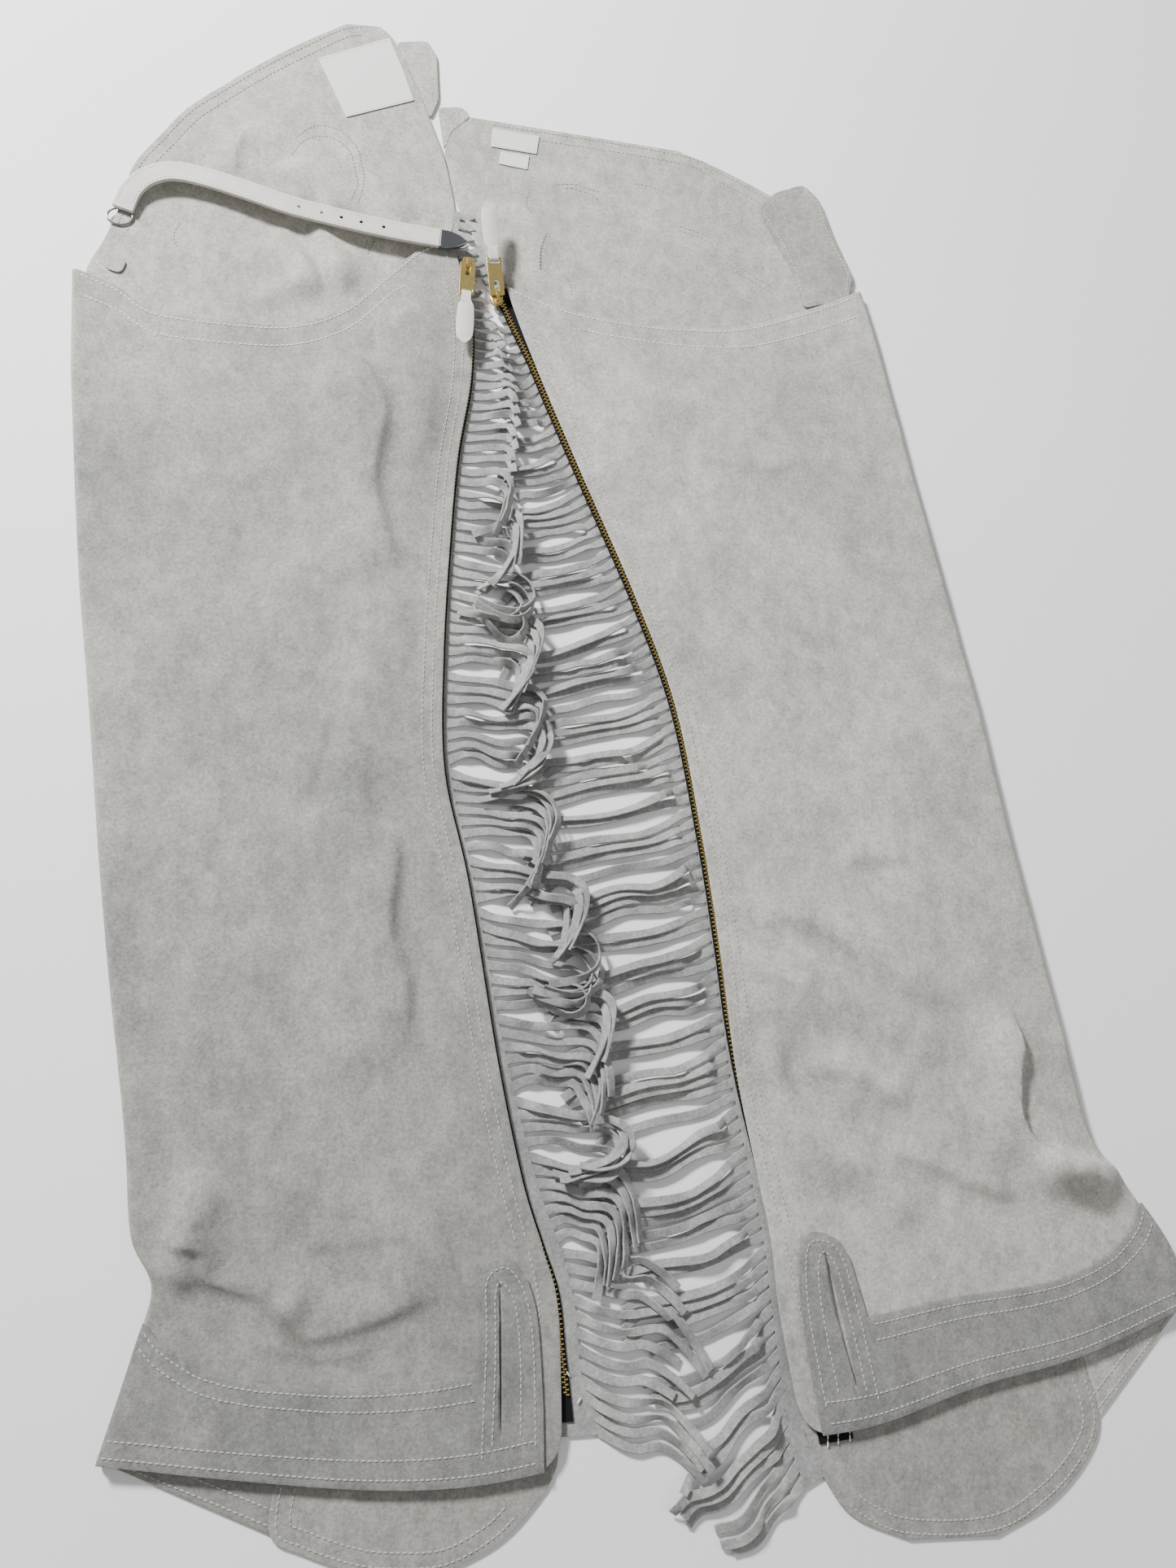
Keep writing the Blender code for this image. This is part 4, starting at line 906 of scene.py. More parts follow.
def strand_plan(leg, roots, number):
    """A strand's plan route from its root, how far it is turned onto its edge, and its added lift."""
    root = roots[number]
    clump, place, first_number, size = clump_of(leg.name, number)
    first_root = roots[first_number]
    mood = scatter(clump * 7 + 3)
    other = scatter(clump * 11 + 5)
    own = scatter(number * 3 + 1)
    reach = hang(leg, root[1], "reach")
    drop = hang(leg, root[1], "drop")
    if leg.name == "right":
        slope = math.atan2(drop, max(reach, 10))
        lean = (place - (size - 1) / 2) * -0.085
        waves = (1.4 + 0.9 * abs(other) + 0.5 * own, 84 + 26 * other + 8 * own, 2.6 * mood + 0.5 * own)
        run = reach * (0.98 + 0.1 * own + 0.06 * other)
        hook = Hook(run * 0.84, 15 + 6 * own, 0.6 + 0.5 * mood, run * 0.1, 0)
        low = smooth_step((-110 - root[1]) / 90)
        route, bent = arc_route(root, slope * 1.4 + 0.3 + 0.14 * mood + 0.06 * own + 0.2 * low, hook, -1, waves,
                                slope * 0.8 + 0.12 + 0.45 * low)
        along = np.arange(len(route))
        drift = lean * (np.minimum(along, 42) - 0.35 * np.clip(along - 42, 0, None)) - 0.5 * own * smooth_step(along / 30)
        route[:, 1] -= drift * smooth_step((along - 3 - 4 * abs(own)) / (13 + 8 * other))
        turn = (0.55 * np.sin(along / (10 + 3 * mood) + 3 * other) * np.exp(-along / 34)
                + 0.28 * np.sin(along / (24 + 5 * own) + 2 * clump))
        lift = (1.8 + 1.8 * own) * np.exp(-((along - 17) / 7) ** 2)
        lift = lift + 1.4 * abs(other) * np.exp(-((along - 60 - 20 * mood) / 14) ** 2)
        return route, turn, lift
    if not NEST_LAST_Y < first_root[1] < NEST_FIRST_Y:
        slope = math.atan2(drop, max(reach, 6))
        if root[1] > 0:
            hook = Hook(reach * 0.75, 5 + 2 * own, 1.1 + 0.5 * mood, reach * 0.3, 0.7)
        else:
            hook = Hook(reach * (0.78 + 0.14 * own), 24 + 8 * mood, 0.75 + 0.3 * own, 26 + 12 * own, 0.5)
        low = smooth_step((-60 - root[1]) / 60)
        first = slope * 0.9 + low * (0.3 + 0.16 * mood + 0.05 * own)
        route, bent = arc_route(root, first, hook, 1, (1.2 + low, 46 + 26 * low, 2 * mood), first * 0.6)
    else:
        radius = 12.0 + 3.0 * mood + 3.0 * (size - 1 - place)
        reach = (first_root[0] + hang(leg, first_root[1], "reach") + 7 * other - 3.2 * place + 3.0 * own) - root[0]
        angle = 1.65 + 0.6 * mood + 0.35 * own
        total = reach + 50 + 12 * other
        if clump % 3 == 1:
            angle += 1.3
            radius += 2.0
            reach -= 4.0
        tail = min(max(total - (reach - radius) - radius * angle, 4), 28)
        hook = Hook(max(reach - radius, 10), radius, angle, tail, 0.55 + 0.5 * other)
        lean = ((size - 1) / 2 - place) * (0.09 + 0.09 * abs(scatter(clump + 60)))
        first = 0.05 + 0.42 * mood + 0.14 * own + lean
        route, bent = arc_route(root, first, hook, 1, (1.4, 58, 3 * mood), 0.42 + 0.25 * own - 0.5 * first)
    along = np.arange(len(route))
    side = 1 if clump % 2 else -1
    ease = np.convolve(np.pad(bent, 12, mode="edge"), np.ones(25) / 25, mode="valid")
    turn = side * hook.turn * ease * (1 - 0.35 * smooth_step((along - len(along) + 25) / 25))
    turn = turn + 0.38 * np.sin(along / 12 + 2 * own + 3 * other) * smooth_step(along / 14)
    lift = 2.6 * abs(own) * np.exp(-((along - 16 - 8 * mood) / 8) ** 2)
    return route, turn, lift


def lay_strand(pile, leg, route, turn, lift, first_side):
    """Rest a strand on the pile: its sections' middles, sideways directions and turns."""
    count = len(route)
    tangent = np.gradient(route, axis=0)
    tangent /= np.linalg.norm(tangent, axis=1)[:, None]
    sides = np.column_stack([tangent[:, 1], -tangent[:, 0]])
    hand = 1 if np.dot(sides[0], first_side) > 0 else -1
    sides *= hand
    half = SEEN_WIDTH / 2
    places = np.linspace(-half, half, 7)
    flat_for = 7 if leg.name == "right" else 2
    along = np.arange(count)
    freed = smooth_step((along - flat_for) / 9)

    def rest(turns):
        spots = route[:, None, :] + sides[:, None, :] * (places * np.cos(turns)[:, None])[..., None]
        return pile.under(spots) - places * np.sin(turns)[:, None]

    flat = rest(np.zeros(count))
    slope = np.clip((flat[:, 4:].mean(axis=1) - flat[:, :3].mean(axis=1)) / (half * 1.3), -0.6, 0.6)
    slope = soften(slope, 4) * (np.abs(turn) < 0.6)
    turns = soften((turn + np.arctan(slope)) * freed, 3)
    needed = rest(turns).max(axis=1)
    middle = soften(spread(needed, 4), 3) + STRAND_THICK / 2 * np.cos(turns) + lift * freed
    middle = np.minimum(middle, 13.0)
    start = STRIP_BOTTOM + STRAND_THICK / 2
    middle = start + (middle - start) * freed
    fine = np.linspace(-half, half, 11)
    for shift in (0.0, 0.5):
        spots = route[:, None, :] + sides[:, None, :] * (fine * np.cos(turns)[:, None])[..., None] + shift
        tops = middle[:, None] + fine * np.sin(turns)[:, None] + STRAND_THICK / 2 + 0.15
        pile.add(spots[4:], tops[4:])
    return middle, sides, turns


def soften(values, size):
    kernel = np.exp(-(np.arange(-2 * size, 2 * size + 1) / size) ** 2)
    return np.convolve(np.pad(values, 2 * size, mode="edge"), kernel / kernel.sum(), mode="valid")


def spread(values, size):
    padded = np.pad(values, size, mode="edge")
    return np.max([padded[k:k + len(values)] for k in range(2 * size + 1)], axis=0)


SECTION = ((-1, -0.4), (-1, 0.4), (-0.9, 0.66), (0, 0.7), (0.9, 0.66), (1, 0.4), (1, -0.4), (0.9, -0.66), (0, -0.7),
           (-0.9, -0.66))


def fringe(panel, pile):
    """The strip and its strands, laid one over another from the hem up."""
    leg = panel.leg
    inner, outer, out = fringe_roots(panel)
    top = STRIP_BOTTOM + STRAND_THICK
    shape = bmesh.new()
    add_rings(shape, [[(*a, STRIP_BOTTOM), (*b, STRIP_BOTTOM), (*b, top), (*a, top)] for a, b in zip(inner, outer)])
    roots = (outer[0::2] + outer[1::2]) / 2
    for number in reversed(range(len(roots))):
        ends = (outer[2 * number], outer[2 * number + 1])
        first_side = ends[1] - ends[0]
        own_half = np.linalg.norm(first_side) / 2
        route, turn, lift = strand_plan(leg, roots, number)
        middle, sides, turns = lay_strand(pile, leg, route, turn, lift, first_side)
        steps = np.unique(np.rint(np.linspace(0, len(route) - 1, max(int(len(route) / 3.6), 4))).astype(int))
        rings = []
        for k in steps:
            half = np.interp(k, (0, 7), (own_half, SEEN_WIDTH / 2 * (1 + 0.07 * math.sin(number + k / 17))))
            side = sides[k] if k else first_side / (2 * own_half)
            ring = []
            for across, thick in SECTION:
                aside = across * half * math.cos(turns[k]) - thick * math.sin(turns[k])
                up = across * half * math.sin(turns[k]) + thick * math.cos(turns[k])
                ring.append((*(route[k] + side * aside), max(middle[k] + up, STRIP_BOTTOM)))
            rings.append(ring)
        add_rings(shape, rings)
    mesh = bpy.data.meshes.new("fringe")
    shape.to_mesh(mesh)
    shape.free()
    made = finish_object("fringe_strands_" + leg.name, mesh, "fringe")
    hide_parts("fringe_" + leg.name)
    return made


# Zips


def zip_route(panel, count):
    """The chain's middle in plan, with its outward directions."""
    leg = panel.leg
    place = ZIP_PLACE[leg.name]
    downs = np.linspace(place[0][0], place[-1][0], count)
    route = panel.along(panel.zip, downs)
    past = np.clip(downs - 1, 0, None) * 1000
    route[:, 1] -= past
    tangent = np.gradient(route, axis=0)
    tangent /= np.linalg.norm(tangent, axis=1)[:, None]
    out = np.column_stack([tangent[:, 1], -tangent[:, 0]]) * (-leg.inward)
    shift = np.interp(downs, [p[0] for p in place], [p[1] for p in place])
    return route + shift[:, None] * out, out


TACKS = {"left": ((122, -171, 126, -178), (128, -190, 131, -186)),
         "right": ((288, -221, 287, -233), (295, -220, 294, -232), (303, -219, 302, -231))}


def tacks(leg):
    """Coarse white threads that hold the tape's end."""
    rows = []
    for x0, y0, x1, y1 in TACKS[leg.name]:
        rows.append(np.array([(x0 + (x1 - x0) * s, y0 + (y1 - y0) * s, TAPE_BOTTOM + TAPE_THICK)
                              for s in np.linspace(0, 1, 4)]))
    return stitches("tacks_" + leg.name, rows, 4.4, 4.0, 0.9, 0.6)


def zip_fastener(panel):
    """Black tape and its closed chain of brass teeth."""
    leg = panel.leg
    route, out = zip_route(panel, 90)
    rings = []
    for k, ((x, y), o) in enumerate(zip(route, out)):
        inner = TAPE_IN + (9 * smooth_step((k - 84) / 4) if leg.name == "right" else 0)
        profile = ((-inner, 0), (TAPE_OUT, 0), (TAPE_OUT, TAPE_THICK), (-inner, TAPE_THICK))
        rings.append([(x + o[0] * s, y + o[1] * s, TAPE_BOTTOM + up) for s, up in profile])
    tape = rings_mesh("zip_tape_" + leg.name, rings, "tape", smooth=False)
    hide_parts("zip_" + leg.name)
    dense, sides = zip_route(panel, 2400)
    travelled = np.concatenate([[0], np.cumsum(np.linalg.norm(np.diff(dense, axis=0), axis=1))])
    shape = bmesh.new()
    pitch = 1.45
    low = TAPE_BOTTOM + TAPE_THICK - 0.1
    for k in range(int((travelled[-1] - (22 if leg.name == "right" else 14)) // pitch)):
        at = k * pitch
        x, y, ox, oy = [np.interp(at, travelled, values) for values in (dense[:, 0], dense[:, 1],
                                                                       sides[:, 0], sides[:, 1])]
        hand = 1 if k % 2 else -1
        o = np.array([ox, oy])
        run = np.array([-oy, ox])
        ring_low = []
        ring_high = []
        for s, r in ((-0.6, -0.55), (2.1, -0.7), (2.1, 0.7), (-0.6, 0.55)):
            p = np.array([x, y]) + o * s * hand + run * r
            q = np.array([x, y]) + o * (s * 0.82 + 0.1) * hand + run * r * 0.7
            ring_low.append((*p, low))
            ring_high.append((*q, CHAIN_TOP))
        add_rings(shape, [ring_low, ring_high])
    mesh = bpy.data.meshes.new("teeth")
    shape.to_mesh(mesh)
    shape.free()
    teeth = finish_object("zip_teeth_" + leg.name, mesh, "gold", smooth=False)
    return tape, teeth


# Stitch rows


def panel_rows(panel):
    """Stitching along the zip edge, and along the scooped thigh edge."""
    down = np.linspace(0.012, 0.985, 260)
    widen = 1 + 1.2 * smooth_step((down - 0.82) / 0.15)
    first = panel.surface(panel.inset(down, 7.0 * widen), down)
    down2 = np.linspace(0.03, 0.985, 260)
    widen = 1 + 0.6 * smooth_step((down2 - 0.82) / 0.15)
    second = panel.surface(panel.inset(down2, 13.5 * widen), down2)
    across = np.linspace(0.01, 0.985, 160)
    third = panel.surface(across, panel.lowered(across, 3.5))
    across = np.linspace(0.02, 0.85, 150)
    fourth = panel.surface(across, panel.lowered(across, 18.0 + 3.0 * smooth_step((across - 0.8) / 0.05)))
    return [first[down < 0.86], second[down2 < 0.86], first[down > 0.862]], [third, fourth]


TONGUE_ROW = ((0.813, 0.985), (0.814, 0.935), (0.818, 0.905), (0.823, 0.886), (0.833, 0.875), (0.852, 0.869),
              (0.886, 0.868), (0.908, 0.873), (0.921, 0.886), (0.929, 0.907), (0.934, 0.935), (0.937, 0.985))
SLIT_ROW = ((0.836, 0.978), (0.838, 0.93), (0.842, 0.895), (0.853, 0.882), (0.868, 0.876), (0.884, 0.882),
            (0.895, 0.897), (0.901, 0.935), (0.902, 0.978))


def band_rows(panel):
    """Stitching on the hem band: along its upper edge, its hem, the tongue and the slit."""
    lift = BAND_GAP + BAND_WALL
    length = np.linalg.norm(panel.plan(0.4, 1.0) - panel.plan(0.4, 0.0))
    across = np.linspace(0.0, 0.798, 120)
    edge = np.interp(across, [p[0] for p in BAND_EDGE[:11]], [p[1] for p in BAND_EDGE[:11]])
    rows = [panel.surface(across, edge + 4.5 / length, lift), panel.surface(across, edge + 13.0 / length, lift)]
    across = np.linspace(-0.005, 0.945, 140)
    rows.append(panel.surface(across, 1 - 5.0 / length * np.ones(140), lift))
    rows.append(panel.surface(across, 1 - 15.0 / length * np.ones(140), lift))
    for table in (TONGUE_ROW, SLIT_ROW):
        line = smooth_curve(table, 90)
        rows.append(panel.surface(line[:, 0], line[:, 1], lift))
    return rows


def under_rows(panel):
    """Stitching along the hem of the leather that turns under, where it shows below the band."""
    leg = panel.leg
    corner, seam = np.array(panel.along(panel.fold, 1.0)), panel.seam(1.0)
    run = (seam - corner) / np.linalg.norm(seam - corner)
    side = np.array([run[1], -run[0]])
    if side[1] < 0:
        side = -side
    rows = []
    for distance in (4.0, 12.0):
        ends = [corner + run * 12 + side * distance, seam - run * 1.5 + side * distance]
        rows.append([(*end, BACK_WALL) for end in ends])
    return rows


WAIST_SEWING = {
    "left": (),
    "right": (((251, 675), (277, 667), (296, 645), (334, 620)), ((250, 671), (275, 662), (292, 641), (330, 616)),
              ((151, 704), (158, 705), (166, 706), (173, 704), (179, 702), (187, 700)),
              ((158, 701), (164, 702), (171, 700), (177, 698), (181, 695), (186, 693)),
              ((217, 713), (232, 711), (246, 705))),
}
# Needle marks of seams whose thread shows on the other side
NEEDLE_ROWS = {
    "left": (((-53, 725), (-46, 733), (-38, 738), (-31, 739), (-22, 737), (-15, 732), (-9, 723), (-5, 714), (-3, 704),
              (-1, 693), (-2, 684), (-6, 668)),
             ((-59, 704), (-55, 710), (-49, 721), (-39, 728), (-28, 729), (-18, 724), (-11, 713), (-9, 704), (-7, 694),
              (-6, 687), (-12, 669)),
             ((1, 637), (0, 632), (-2, 627)), ((6, 637), (4, 631), (1, 623)),
             ((-136, 638), (-140, 630), (-140, 623), (-136, 615))),
    "right": (((129, 695), (126, 683), (130, 672)), ((141, 656), (136, 640), (135, 622)),
              ((156, 618), (160, 607), (158, 600))),
}


def outline_rows(panel):
    """Stitching inside the edges of the front panel at the waist and round its flare."""
    leg = panel.leg
    rows = front_rows(panel)
    waist = len(leg.waist)
    upper = [row[0] for row in reversed(rows[:waist])] + [row[1] for row in rows[:1]]
    lower = [rows[-5][0], rows[-4][0]] + [row[0] for row in rows[-3:]] + [row[1] for row in reversed(rows[-3:])]
    made = []
    for line in (upper, lower):
        curve = smooth_curve(np.array(line), 160)
        tangent = np.gradient(curve, axis=0)
        tangent /= np.linalg.norm(tangent, axis=1)[:, None]
        side = np.column_stack([tangent[:, 1], -tangent[:, 0]]) * leg.inward
        if line is lower:
            side = -side
        for distance in (4.0, 12.0):
            spots = curve + side * distance
            made.append(np.column_stack([spots, np.full(len(spots), FRONT_WALL)])[6:-6])
    return made + waist_rows(leg, WAIST_SEWING)


def waist_rows(leg, table):
    """Short rows that follow the folds of the waist."""
    curves = [smooth_curve(points, 40) for points in table[leg.name]]
    return [np.column_stack([curve, waist_height(leg, curve[:, 0], curve[:, 1])]) for curve in curves]


# Hardware, strap and trims

Pull = namedtuple("Pull", "leg x y z heading tilt")
PULLS = (
    Pull("left", 77.5, 617.0, 10.9, 176.0, 3.0),
    Pull("right", 99.5, 592.0, 9.2, 5.0, 9.0),
)
AXIS_OVER_BODY = 1.4
BAR = 1.4
TAB_LENGTH = 30.0
LEATHER_WALL = 1.2
LEATHER_LENGTH = 46.0
Cut = namedtuple("Cut", "along up half")
Station = namedtuple("Station", "x y z")
STRAP_WIDTH = 15.6
STRAP_THICK = 3.0
STRAP = (
    Station(-177, 644, 3.4), Station(-171, 660, 5.0), Station(-160, 671, 7.0), Station(-143, 676, 9.0),
    Station(-122, 673, 10.5), Station(-90, 664, 11.0), Station(-54, 653, 11.0), Station(-12, 645, 10.5),
    Station(24, 640, 9.6), Station(56, 637, 9.0),
)
STRAP_HOLES = (0.585, 0.648, 0.709, 0.771, 0.832)
TIP_LENGTH = 21.0
TRIMS = (
    # name, outline in plan, bottom, thickness, look, slot
    ("waist_tab_left", ((24.4, 828.2), (50, 833), (57, 819), (58, 776), (50.9, 756.2), (46.4, 770.1),
                        (36.4, 797.2)), 0.3, 1.6, "suede_inside", "suede"),
    ("waist_tab_right", ((57, 768), (77, 771), (83.5, 762.4), (67.5, 745.5), (61.5, 728)), 0.3, 1.6,
     "suede_inside", "suede"),
    ("front_tab_right", ((321, 699), (337, 716), (363, 727), (376, 713), (384, 681), (398, 640), (392, 618),
                         (352, 606), (346, 640), (332, 672)), 1.9, 1.6, "suede_left", "suede"),
    ("care_label", ((-37, 803), (19, 831), (30, 800), (38, 772), (-15, 749)), 1.9, 0.6, "label", "white_cloth"),
    ("name_label", ((101, 753), (139, 750), (136, 732), (99, 735)), 1.9, 0.6, "label", "white_cloth"),
    ("size_label", ((107, 731.5), (130, 729.5), (128, 716), (105, 719)), 1.9, 0.6, "label", "white_cloth"),
    ("loop_tab", ((-186, 606), (-172, 602), (-176, 590), (-188, 594)), 1.9, 1.2, "suede_inside", "suede"),
)


def round_corners(outline, radius, steps=5):
    """The same outline with each corner rounded."""
    points = [np.array(point, float) for point in outline]
    made = []
    for k, corner in enumerate(points):
        before, after = points[k - 1], points[(k + 1) % len(points)]
        back = (before - corner) / np.linalg.norm(before - corner)
        on = (after - corner) / np.linalg.norm(after - corner)
        reach = min(radius, np.linalg.norm(before - corner) * 0.45, np.linalg.norm(after - corner) * 0.45)
        start, end = corner + back * reach, corner + on * reach
        for share in np.linspace(0, 1, steps):
            made.append(start * (1 - share) ** 2 + 2 * corner * share * (1 - share) + end * share ** 2)
    return made


def slab(shape, outline, low, high):
    """A plate with any number of sides, given in millimetres, in the mesh under construction."""
    lower = [shape.verts.new((x * MM, y * MM, low * MM)) for x, y in outline]
    upper = [shape.verts.new((x * MM, y * MM, high * MM)) for x, y in outline]
    faces = [shape.faces.new(lower), shape.faces.new(list(reversed(upper)))]
    for k in range(len(outline)):
        faces.append(shape.faces.new((lower[k - 1], lower[k], upper[k], upper[k - 1])))
    bmesh.ops.recalc_face_normals(shape, faces=faces)


def plate(name, outline, low, high, look, body="chaps", bevel=0.25):
    """A plate in its own place, with softened edges."""
    shape = bmesh.new()
    slab(shape, outline, low, high)
    mesh = bpy.data.meshes.new(name)
    shape.to_mesh(mesh)
    shape.free()
    made = finish_object(name, mesh, look, body)
    soften_edges(made, bevel)
    return made


def soften_edges(made, width, segments=3):
    edge = made.modifiers.new("soft_edge", "BEVEL")
    edge.width = width * MM
    edge.segments = segments
    edge.limit_method = "ANGLE"
    edge.angle_limit = math.radians(35)
    edge.harden_normals = True


def box_outline(half_x, low_y, high_y):
    return ((-half_x, low_y), (half_x, low_y), (half_x, high_y), (-half_x, high_y))


def cut_out(made, outline, depth):
    """Cut an outline straight through a plate."""
    tool = plate("opening", outline, -depth, depth, "gold", bevel=0.01)
    tool.modifiers.clear()
    change = made.modifiers.new("opening", "BOOLEAN")
    change.object = tool
    made.modifiers.move(len(made.modifiers) - 1, 0)
    return tool


def slider_and_pull(pull):
    """Zip slider with its arch, slotted tab and the leather pull folded through it."""
    place = Matrix.Translation(metres((pull.x, pull.y, pull.z)).tolist()) @ Matrix.Rotation(
        math.radians(pull.heading), 4, "Z")
    top = -AXIS_OVER_BODY
    shape = bmesh.new()
    wings = round_corners(((-3.4, -6.5), (3.4, -6.5), (4.5, -1.5), (4.5, 6.0), (2.4, 6.5), (-2.4, 6.5),
                           (-4.5, 6.0), (-4.5, -1.5)), 1.2, 4)
    slab(shape, wings, top - 1.2, top)
    slab(shape, wings, top - 3.4, top - 2.3)
    slab(shape, round_corners(box_outline(2.9, -5.6, 5.6), 1.0, 4), top - 2.31, top - 1.19)
    mesh = bpy.data.meshes.new("slider")
    shape.to_mesh(mesh)
    shape.free()
    body = finish_object("slider_body_" + pull.leg, mesh, "gold")
    soften_edges(body, 0.35)
    line = smooth_curve(((-3.6, top - 0.4), (-3.7, 0.2), (-2.9, 1.7), (-1.5, 2.0), (1.5, 2.0), (2.9, 1.7),
                         (3.7, 0.2), (3.6, top - 0.4)), 28)
    tangent = np.gradient(line, axis=0)
    tangent /= np.linalg.norm(tangent, axis=1)[:, None]
    shape = bmesh.new()
    rings = []
    for (y, z), (run_y, run_z) in zip(line, tangent):
        rings.append([(MIDDLE_X + x, MIDDLE_Y + y + run_z * t, z - run_y * t)
                      for x, t in ((-0.8, -0.55), (0.8, -0.55), (1.1, -0.3), (1.1, 0.3), (0.8, 0.55), (-0.8, 0.55),
                                   (-1.1, 0.3), (-1.1, -0.3))])
    add_rings(shape, rings)
    mesh = bpy.data.meshes.new("arch")
    shape.to_mesh(mesh)
    shape.free()
    arch = finish_object("slider_arch_" + pull.leg, mesh, "gold")
    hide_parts("slider_" + pull.leg)

    tilted = place @ Matrix.Rotation(math.radians(pull.tilt), 4, "X")
    own_body = "pull_" + pull.leg
    tab = plate("tab_plate_" + pull.leg, round_corners(box_outline(5.8, -0.7, TAB_LENGTH), 1.3, 5), -BAR / 2, BAR / 2,
                "gold", own_body, 0.3)
    end = TAB_LENGTH - BAR
    tools = [cut_out(tab, round_corners(box_outline(1.7, 0.7, 12.0), 1.5, 5), 2),
             cut_out(tab, round_corners(box_outline(4.2, end - 3.6, end), 0.9, 4), 2)]
    tab.modifiers.move(1, 0)
    bake_modifiers(tab)
    for tool in tools:
        bpy.data.objects.remove(tool)
    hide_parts("pull_tab_" + pull.leg)

    lift = BAR / 2 + GAP + LEATHER_WALL / 2
    route = smooth_curve((
        Cut(end + 9, -lift, 3.7), Cut(end + 4, -lift, 3.7), Cut(end - 0.3, -lift, 3.7), Cut(end - 1.7, 0, 3.7),
        Cut(end - 0.3, lift, 3.7), Cut(end + 7, lift, 3.7), Cut(end + 14, lift * 0.6, 6.2),
        Cut(end + LEATHER_LENGTH - 8, lift * 0.5, 6.2), Cut(end + LEATHER_LENGTH, lift * 0.5, 1.2)), 70)
    run = np.gradient(route[:, 0:2], axis=0)
    run /= np.linalg.norm(run, axis=1)[:, None]
    rings = []
    for (along, up, half), (a, u) in zip(route, run):
        rings.append([(MIDDLE_X + x * half, MIDDLE_Y + along - u * t * LEATHER_WALL / 2,
                       up + a * t * LEATHER_WALL / 2)
                      for x, t in ((-1, -0.5), (-0.93, -1), (0.93, -1), (1, -0.5), (1, 0.5), (0.93, 1), (-0.93, 1),
                                   (-1, 0.5))])
    leather = rings_mesh("leather_strip_" + pull.leg, rings, "strap_leather", own_body)
    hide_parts("leather_pull_" + pull.leg)
    for piece, where in ((body, place), (arch, place), (tab, tilted), (leather, tilted)):
        piece.data.transform(where)
    declare_sheet(leather)


def waist_strap():
    """Two-layer strap with punched holes, a metal tip and its ring."""
    route = smooth_curve([tuple(s) for s in STRAP], 120)
    tangent = np.gradient(route[:, 0:2], axis=0)
    tangent /= np.linalg.norm(tangent, axis=1)[:, None]
    sides = np.column_stack([tangent[:, 1], -tangent[:, 0]])
    half = STRAP_WIDTH / 2
    profile = ((-half + 0.4, 0), (half - 0.4, 0), (half, 0.35), (half, 1.3), (half - 0.3, 1.5), (half, 1.7),
               (half, 2.65), (half - 0.4, 3.0), (0, 3.0), (-half + 0.4, 3.0), (-half, 2.65), (-half, 1.7),
               (-half + 0.3, 1.5), (-half, 1.3), (-half, 0.35), (0, 0))
    rings = [[(x + sx * s, y + sy * s, z + up) for s, up in profile] for (x, y, z), (sx, sy) in zip(route, sides)]
    strap = rings_mesh("strap_leather", rings, "strap_leather")
    for share in STRAP_HOLES:
        k = int(share * (len(route) - 1))
        circle = [(route[k, 0] - MIDDLE_X + 1.3 * math.cos(a), route[k, 1] - MIDDLE_Y + 1.3 * math.sin(a))
                  for a in np.linspace(0, 2 * math.pi, 17)[:-1]]
        tool = plate("punch", circle, 5, 18, "gold", bevel=0.01)
        tool.modifiers.clear()
        change = strap.modifiers.new("hole", "BOOLEAN")
        change.object = tool
        bake_modifiers(strap)
        bpy.data.objects.remove(tool)
    strap.data.set_sharp_from_angle(angle=math.radians(38))
    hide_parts("strap")
    rows = [np.column_stack([route[3:-2, 0:2] + sides[3:-2] * side * (half - 2.2), route[3:-2, 2] + STRAP_THICK])
            for side in (-1, 1)]
    thread = stitches("stitches_strap", rows, 3.2, 2.1, 0.55, 0.3)

    run, side = tangent[-1], sides[-1]
    start = route[-1, 0:2] + run * GAP
    outline = [start + run * TIP_LENGTH * a + side * half * s - (MIDDLE_X, MIDDLE_Y)
               for a, s in ((0, 1), (0.25, 0.99), (0.45, 0.9), (0.65, 0.72), (0.82, 0.46), (0.94, 0.2), (1, 0),
                            (0.94, -0.2), (0.82, -0.46), (0.65, -0.72), (0.45, -0.9), (0.25, -0.99), (0, -1))]
    low = route[-1, 2] - 0.1
    tip = plate("strap_tip_cap", outline, low, low + STRAP_THICK + 0.2, "gunmetal", bevel=0.9)
    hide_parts("strap_tip")

    first = route[0]
    rings = []
    for a in np.linspace(0, 2 * math.pi, 49)[:-1]:
        out = np.array([math.cos(a), 0.8 * math.sin(a)])
        rings.append([(first[0] - 2 + out[0] * (9.0 + 0.8 * math.cos(b)), first[1] - 5 + out[1] * (9.0 + 0.8 * math.cos(b)),
                       FRONT_WALL + GAP + 0.8 + 0.8 * math.sin(b)) for b in np.linspace(0, 2 * math.pi, 11)[:-1]])
    ring = rings_mesh("strap_ring_wire", rings, "gunmetal", closed=True)
    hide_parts("strap_ring")
    return strap, thread, tip


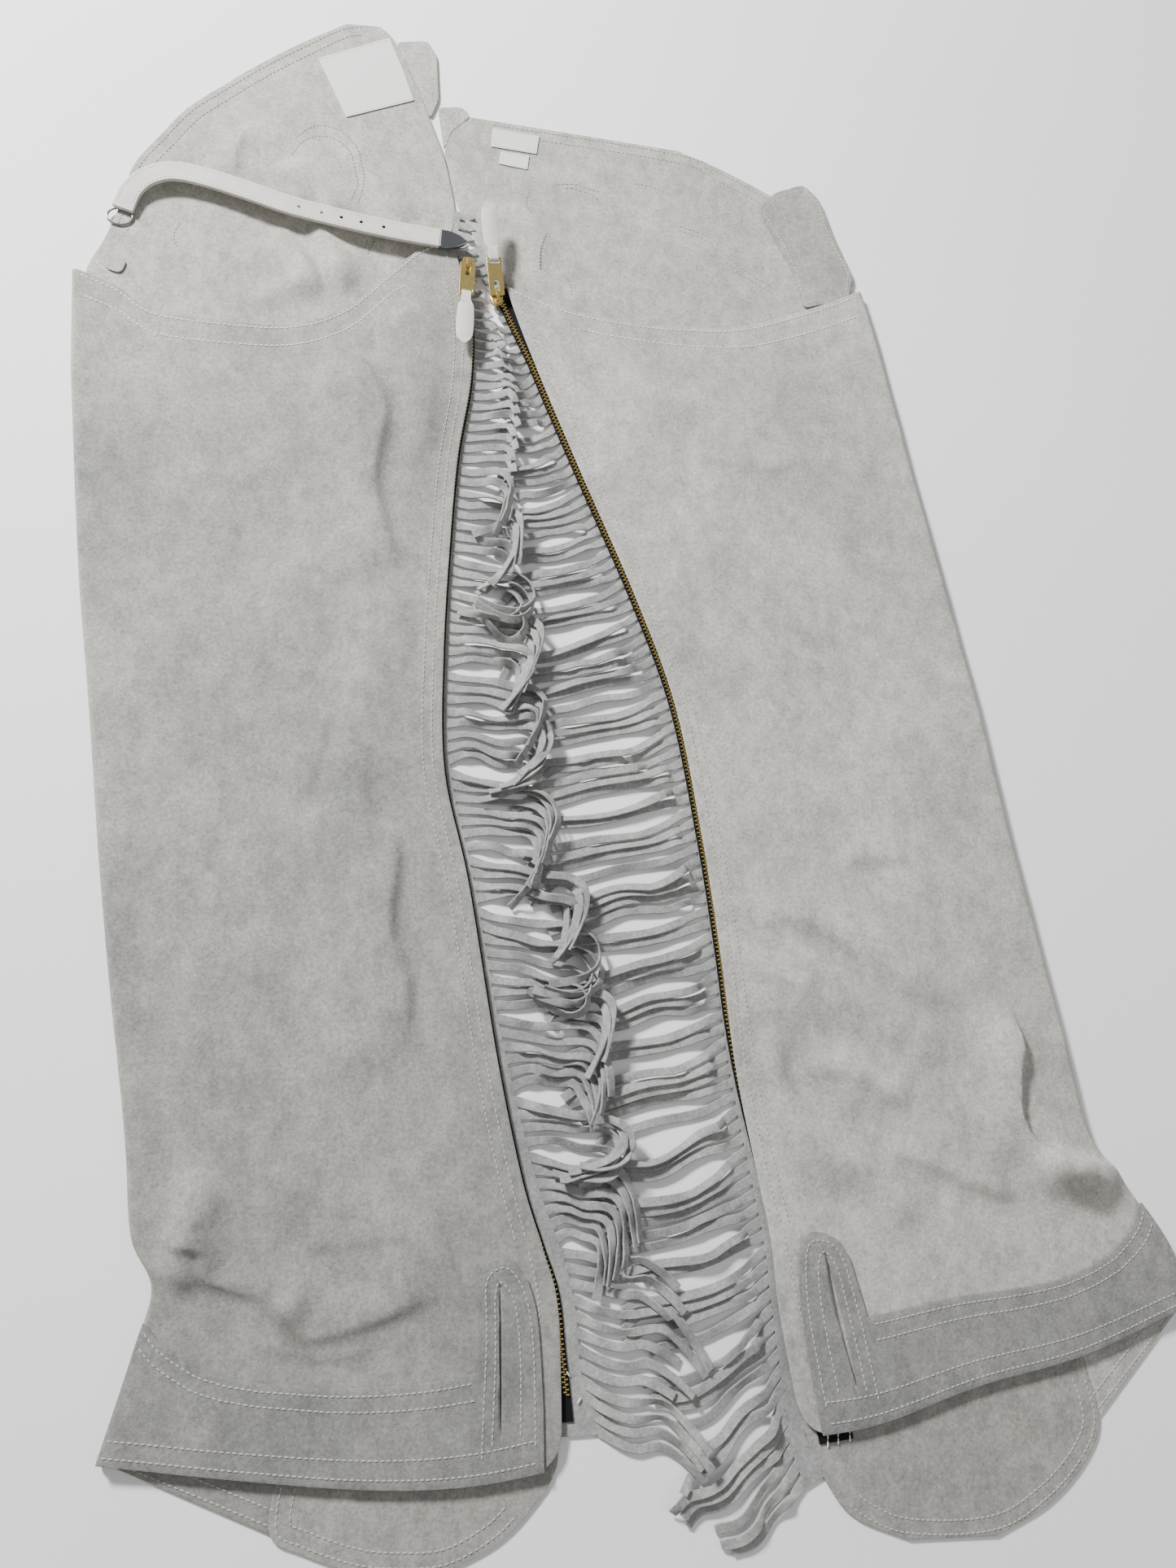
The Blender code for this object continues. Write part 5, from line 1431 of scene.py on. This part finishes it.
def trims():
    """Waist tabs and the blank labels, with their stitching."""
    made = {}
    for name, outline, low, thick, look, slot in TRIMS:
        radius = 0.8 if look == "label" else 5.0
        points = round_corners([(x - MIDDLE_X, y - MIDDLE_Y) for x, y in outline], radius)
        cloth = plate(name + "_cloth", points, low, low + thick, look,
                           bevel=0.12 if look == "label" else 0.3)
        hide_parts(name)
        inset = []
        centre = np.mean(outline, axis=0)
        for x, y in list(outline) + [outline[0]]:
            away = centre - (x, y)
            inset.append((*(np.array((x, y)) + away / np.linalg.norm(away) * (2.2 if look == "label" else 4.5)),
                          low + thick))
        thread = None
        if name != "loop_tab":
            thread = stitches("stitches_" + name, [inset], 2.6 if look == "label" else 3.4, 1.8, 0.45, 0.25)
        made[name] = (cloth, thread)
    return made


# Build


def build():
    pile = Pile()
    for leg in reversed(LEGS):
        panel = Panel(leg)
        front = front_panel(panel)
        back = back_panel(panel)
        band = hem_band(panel)
        strands = fringe(panel, pile)
        tape, teeth = zip_fastener(panel)
        zip_side, thigh_side = panel_rows(panel)
        back_thread = stitches("stitches_back_" + leg.name, thigh_side)
        zip_thread = stitches("stitches_zip_" + leg.name, zip_side, look="thread_grey")
        band_thread = stitches("stitches_band_" + leg.name, band_rows(panel), look="thread_grey")
        front_thread = stitches("stitches_front_" + leg.name, outline_rows(panel) + under_rows(panel),
                                look="thread_grey")
        marks = stitches("needle_marks_" + leg.name, waist_rows(leg, NEEDLE_ROWS), 2.9, 1.8, 1.1, 0.12, "needle")
        declare_sheet(front, [strands, front_thread, marks])
        declare_sheet(back,
                      [band, back_thread, zip_thread, band_thread, tape, teeth, tacks(leg)])
    for pull in PULLS:
        slider_and_pull(pull)
    strap, strap_thread, tip = waist_strap()
    declare_sheet(strap, [strap_thread, tip])
    for name, (made, thread) in trims().items():
        declare_sheet(made, [thread] if thread else [])


def stage_and_camera():
    """Pale floor, soft studio light, and the camera over the thigh looking down with the waist away from it."""
    mesh = bpy.data.meshes.new("floor")
    size = 6.0
    mesh.from_pydata([(-size, -size, 0), (size, -size, 0), (size, size, 0), (-size, size, 0)], [], [(0, 1, 2, 3)])
    floor = bpy.data.objects.new("floor", mesh)
    look = Look("floor_paper", 0.8, specular=0.2)
    look.colour(look.ramp(look.noise(3, 2, 0.5), (0.3, grey(0.90)), (0.7, grey(0.93))))
    mesh.materials.append(look.material)
    bpy.context.scene.collection.objects.link(floor)
    floor.location.z = -0.0005

    camera_data = bpy.data.cameras.new("camera")
    camera_data.lens = 27.05
    camera_data.sensor_width = 36
    camera = bpy.data.objects.new("camera", camera_data)
    right = Vector((0.982674, -0.046550, 0.179400))
    down = Vector((0.0, -0.967946, -0.251160))
    forward = Vector((0.185341, 0.246808, -0.951175))
    turn = Matrix((right, -down, -forward)).transposed()
    camera.matrix_world = Matrix.Translation((-MIDDLE_X * MM, -MIDDLE_Y * MM, 0.790)) @ turn.to_4x4()
    bpy.context.scene.collection.objects.link(camera)
    bpy.context.scene.camera = camera

    world = bpy.data.worlds.new("studio")
    world.use_nodes = True
    world.node_tree.nodes["Background"].inputs["Color"].default_value = (1.0, 1.0, 1.0, 1)
    world.node_tree.nodes["Background"].inputs["Strength"].default_value = 0.38
    bpy.context.scene.world = world
    for name, spot, target, size, power in (
            ("key", (-1.4, 1.5, 1.35), (0.0, 0.0, 0), 0.4, 150),
            ("fill", (1.6, -0.6, 1.8), (0.1, 0, 0), 1.6, 9)):
        light = bpy.data.lights.new(name, "AREA")
        light.size = size
        light.energy = power
        lamp = bpy.data.objects.new(name, light)
        lamp.location = spot
        lamp.rotation_euler = (Vector(target) - Vector(spot)).to_track_quat("-Z", "Y").to_euler()
        bpy.context.scene.collection.objects.link(lamp)


build()
stage_and_camera()
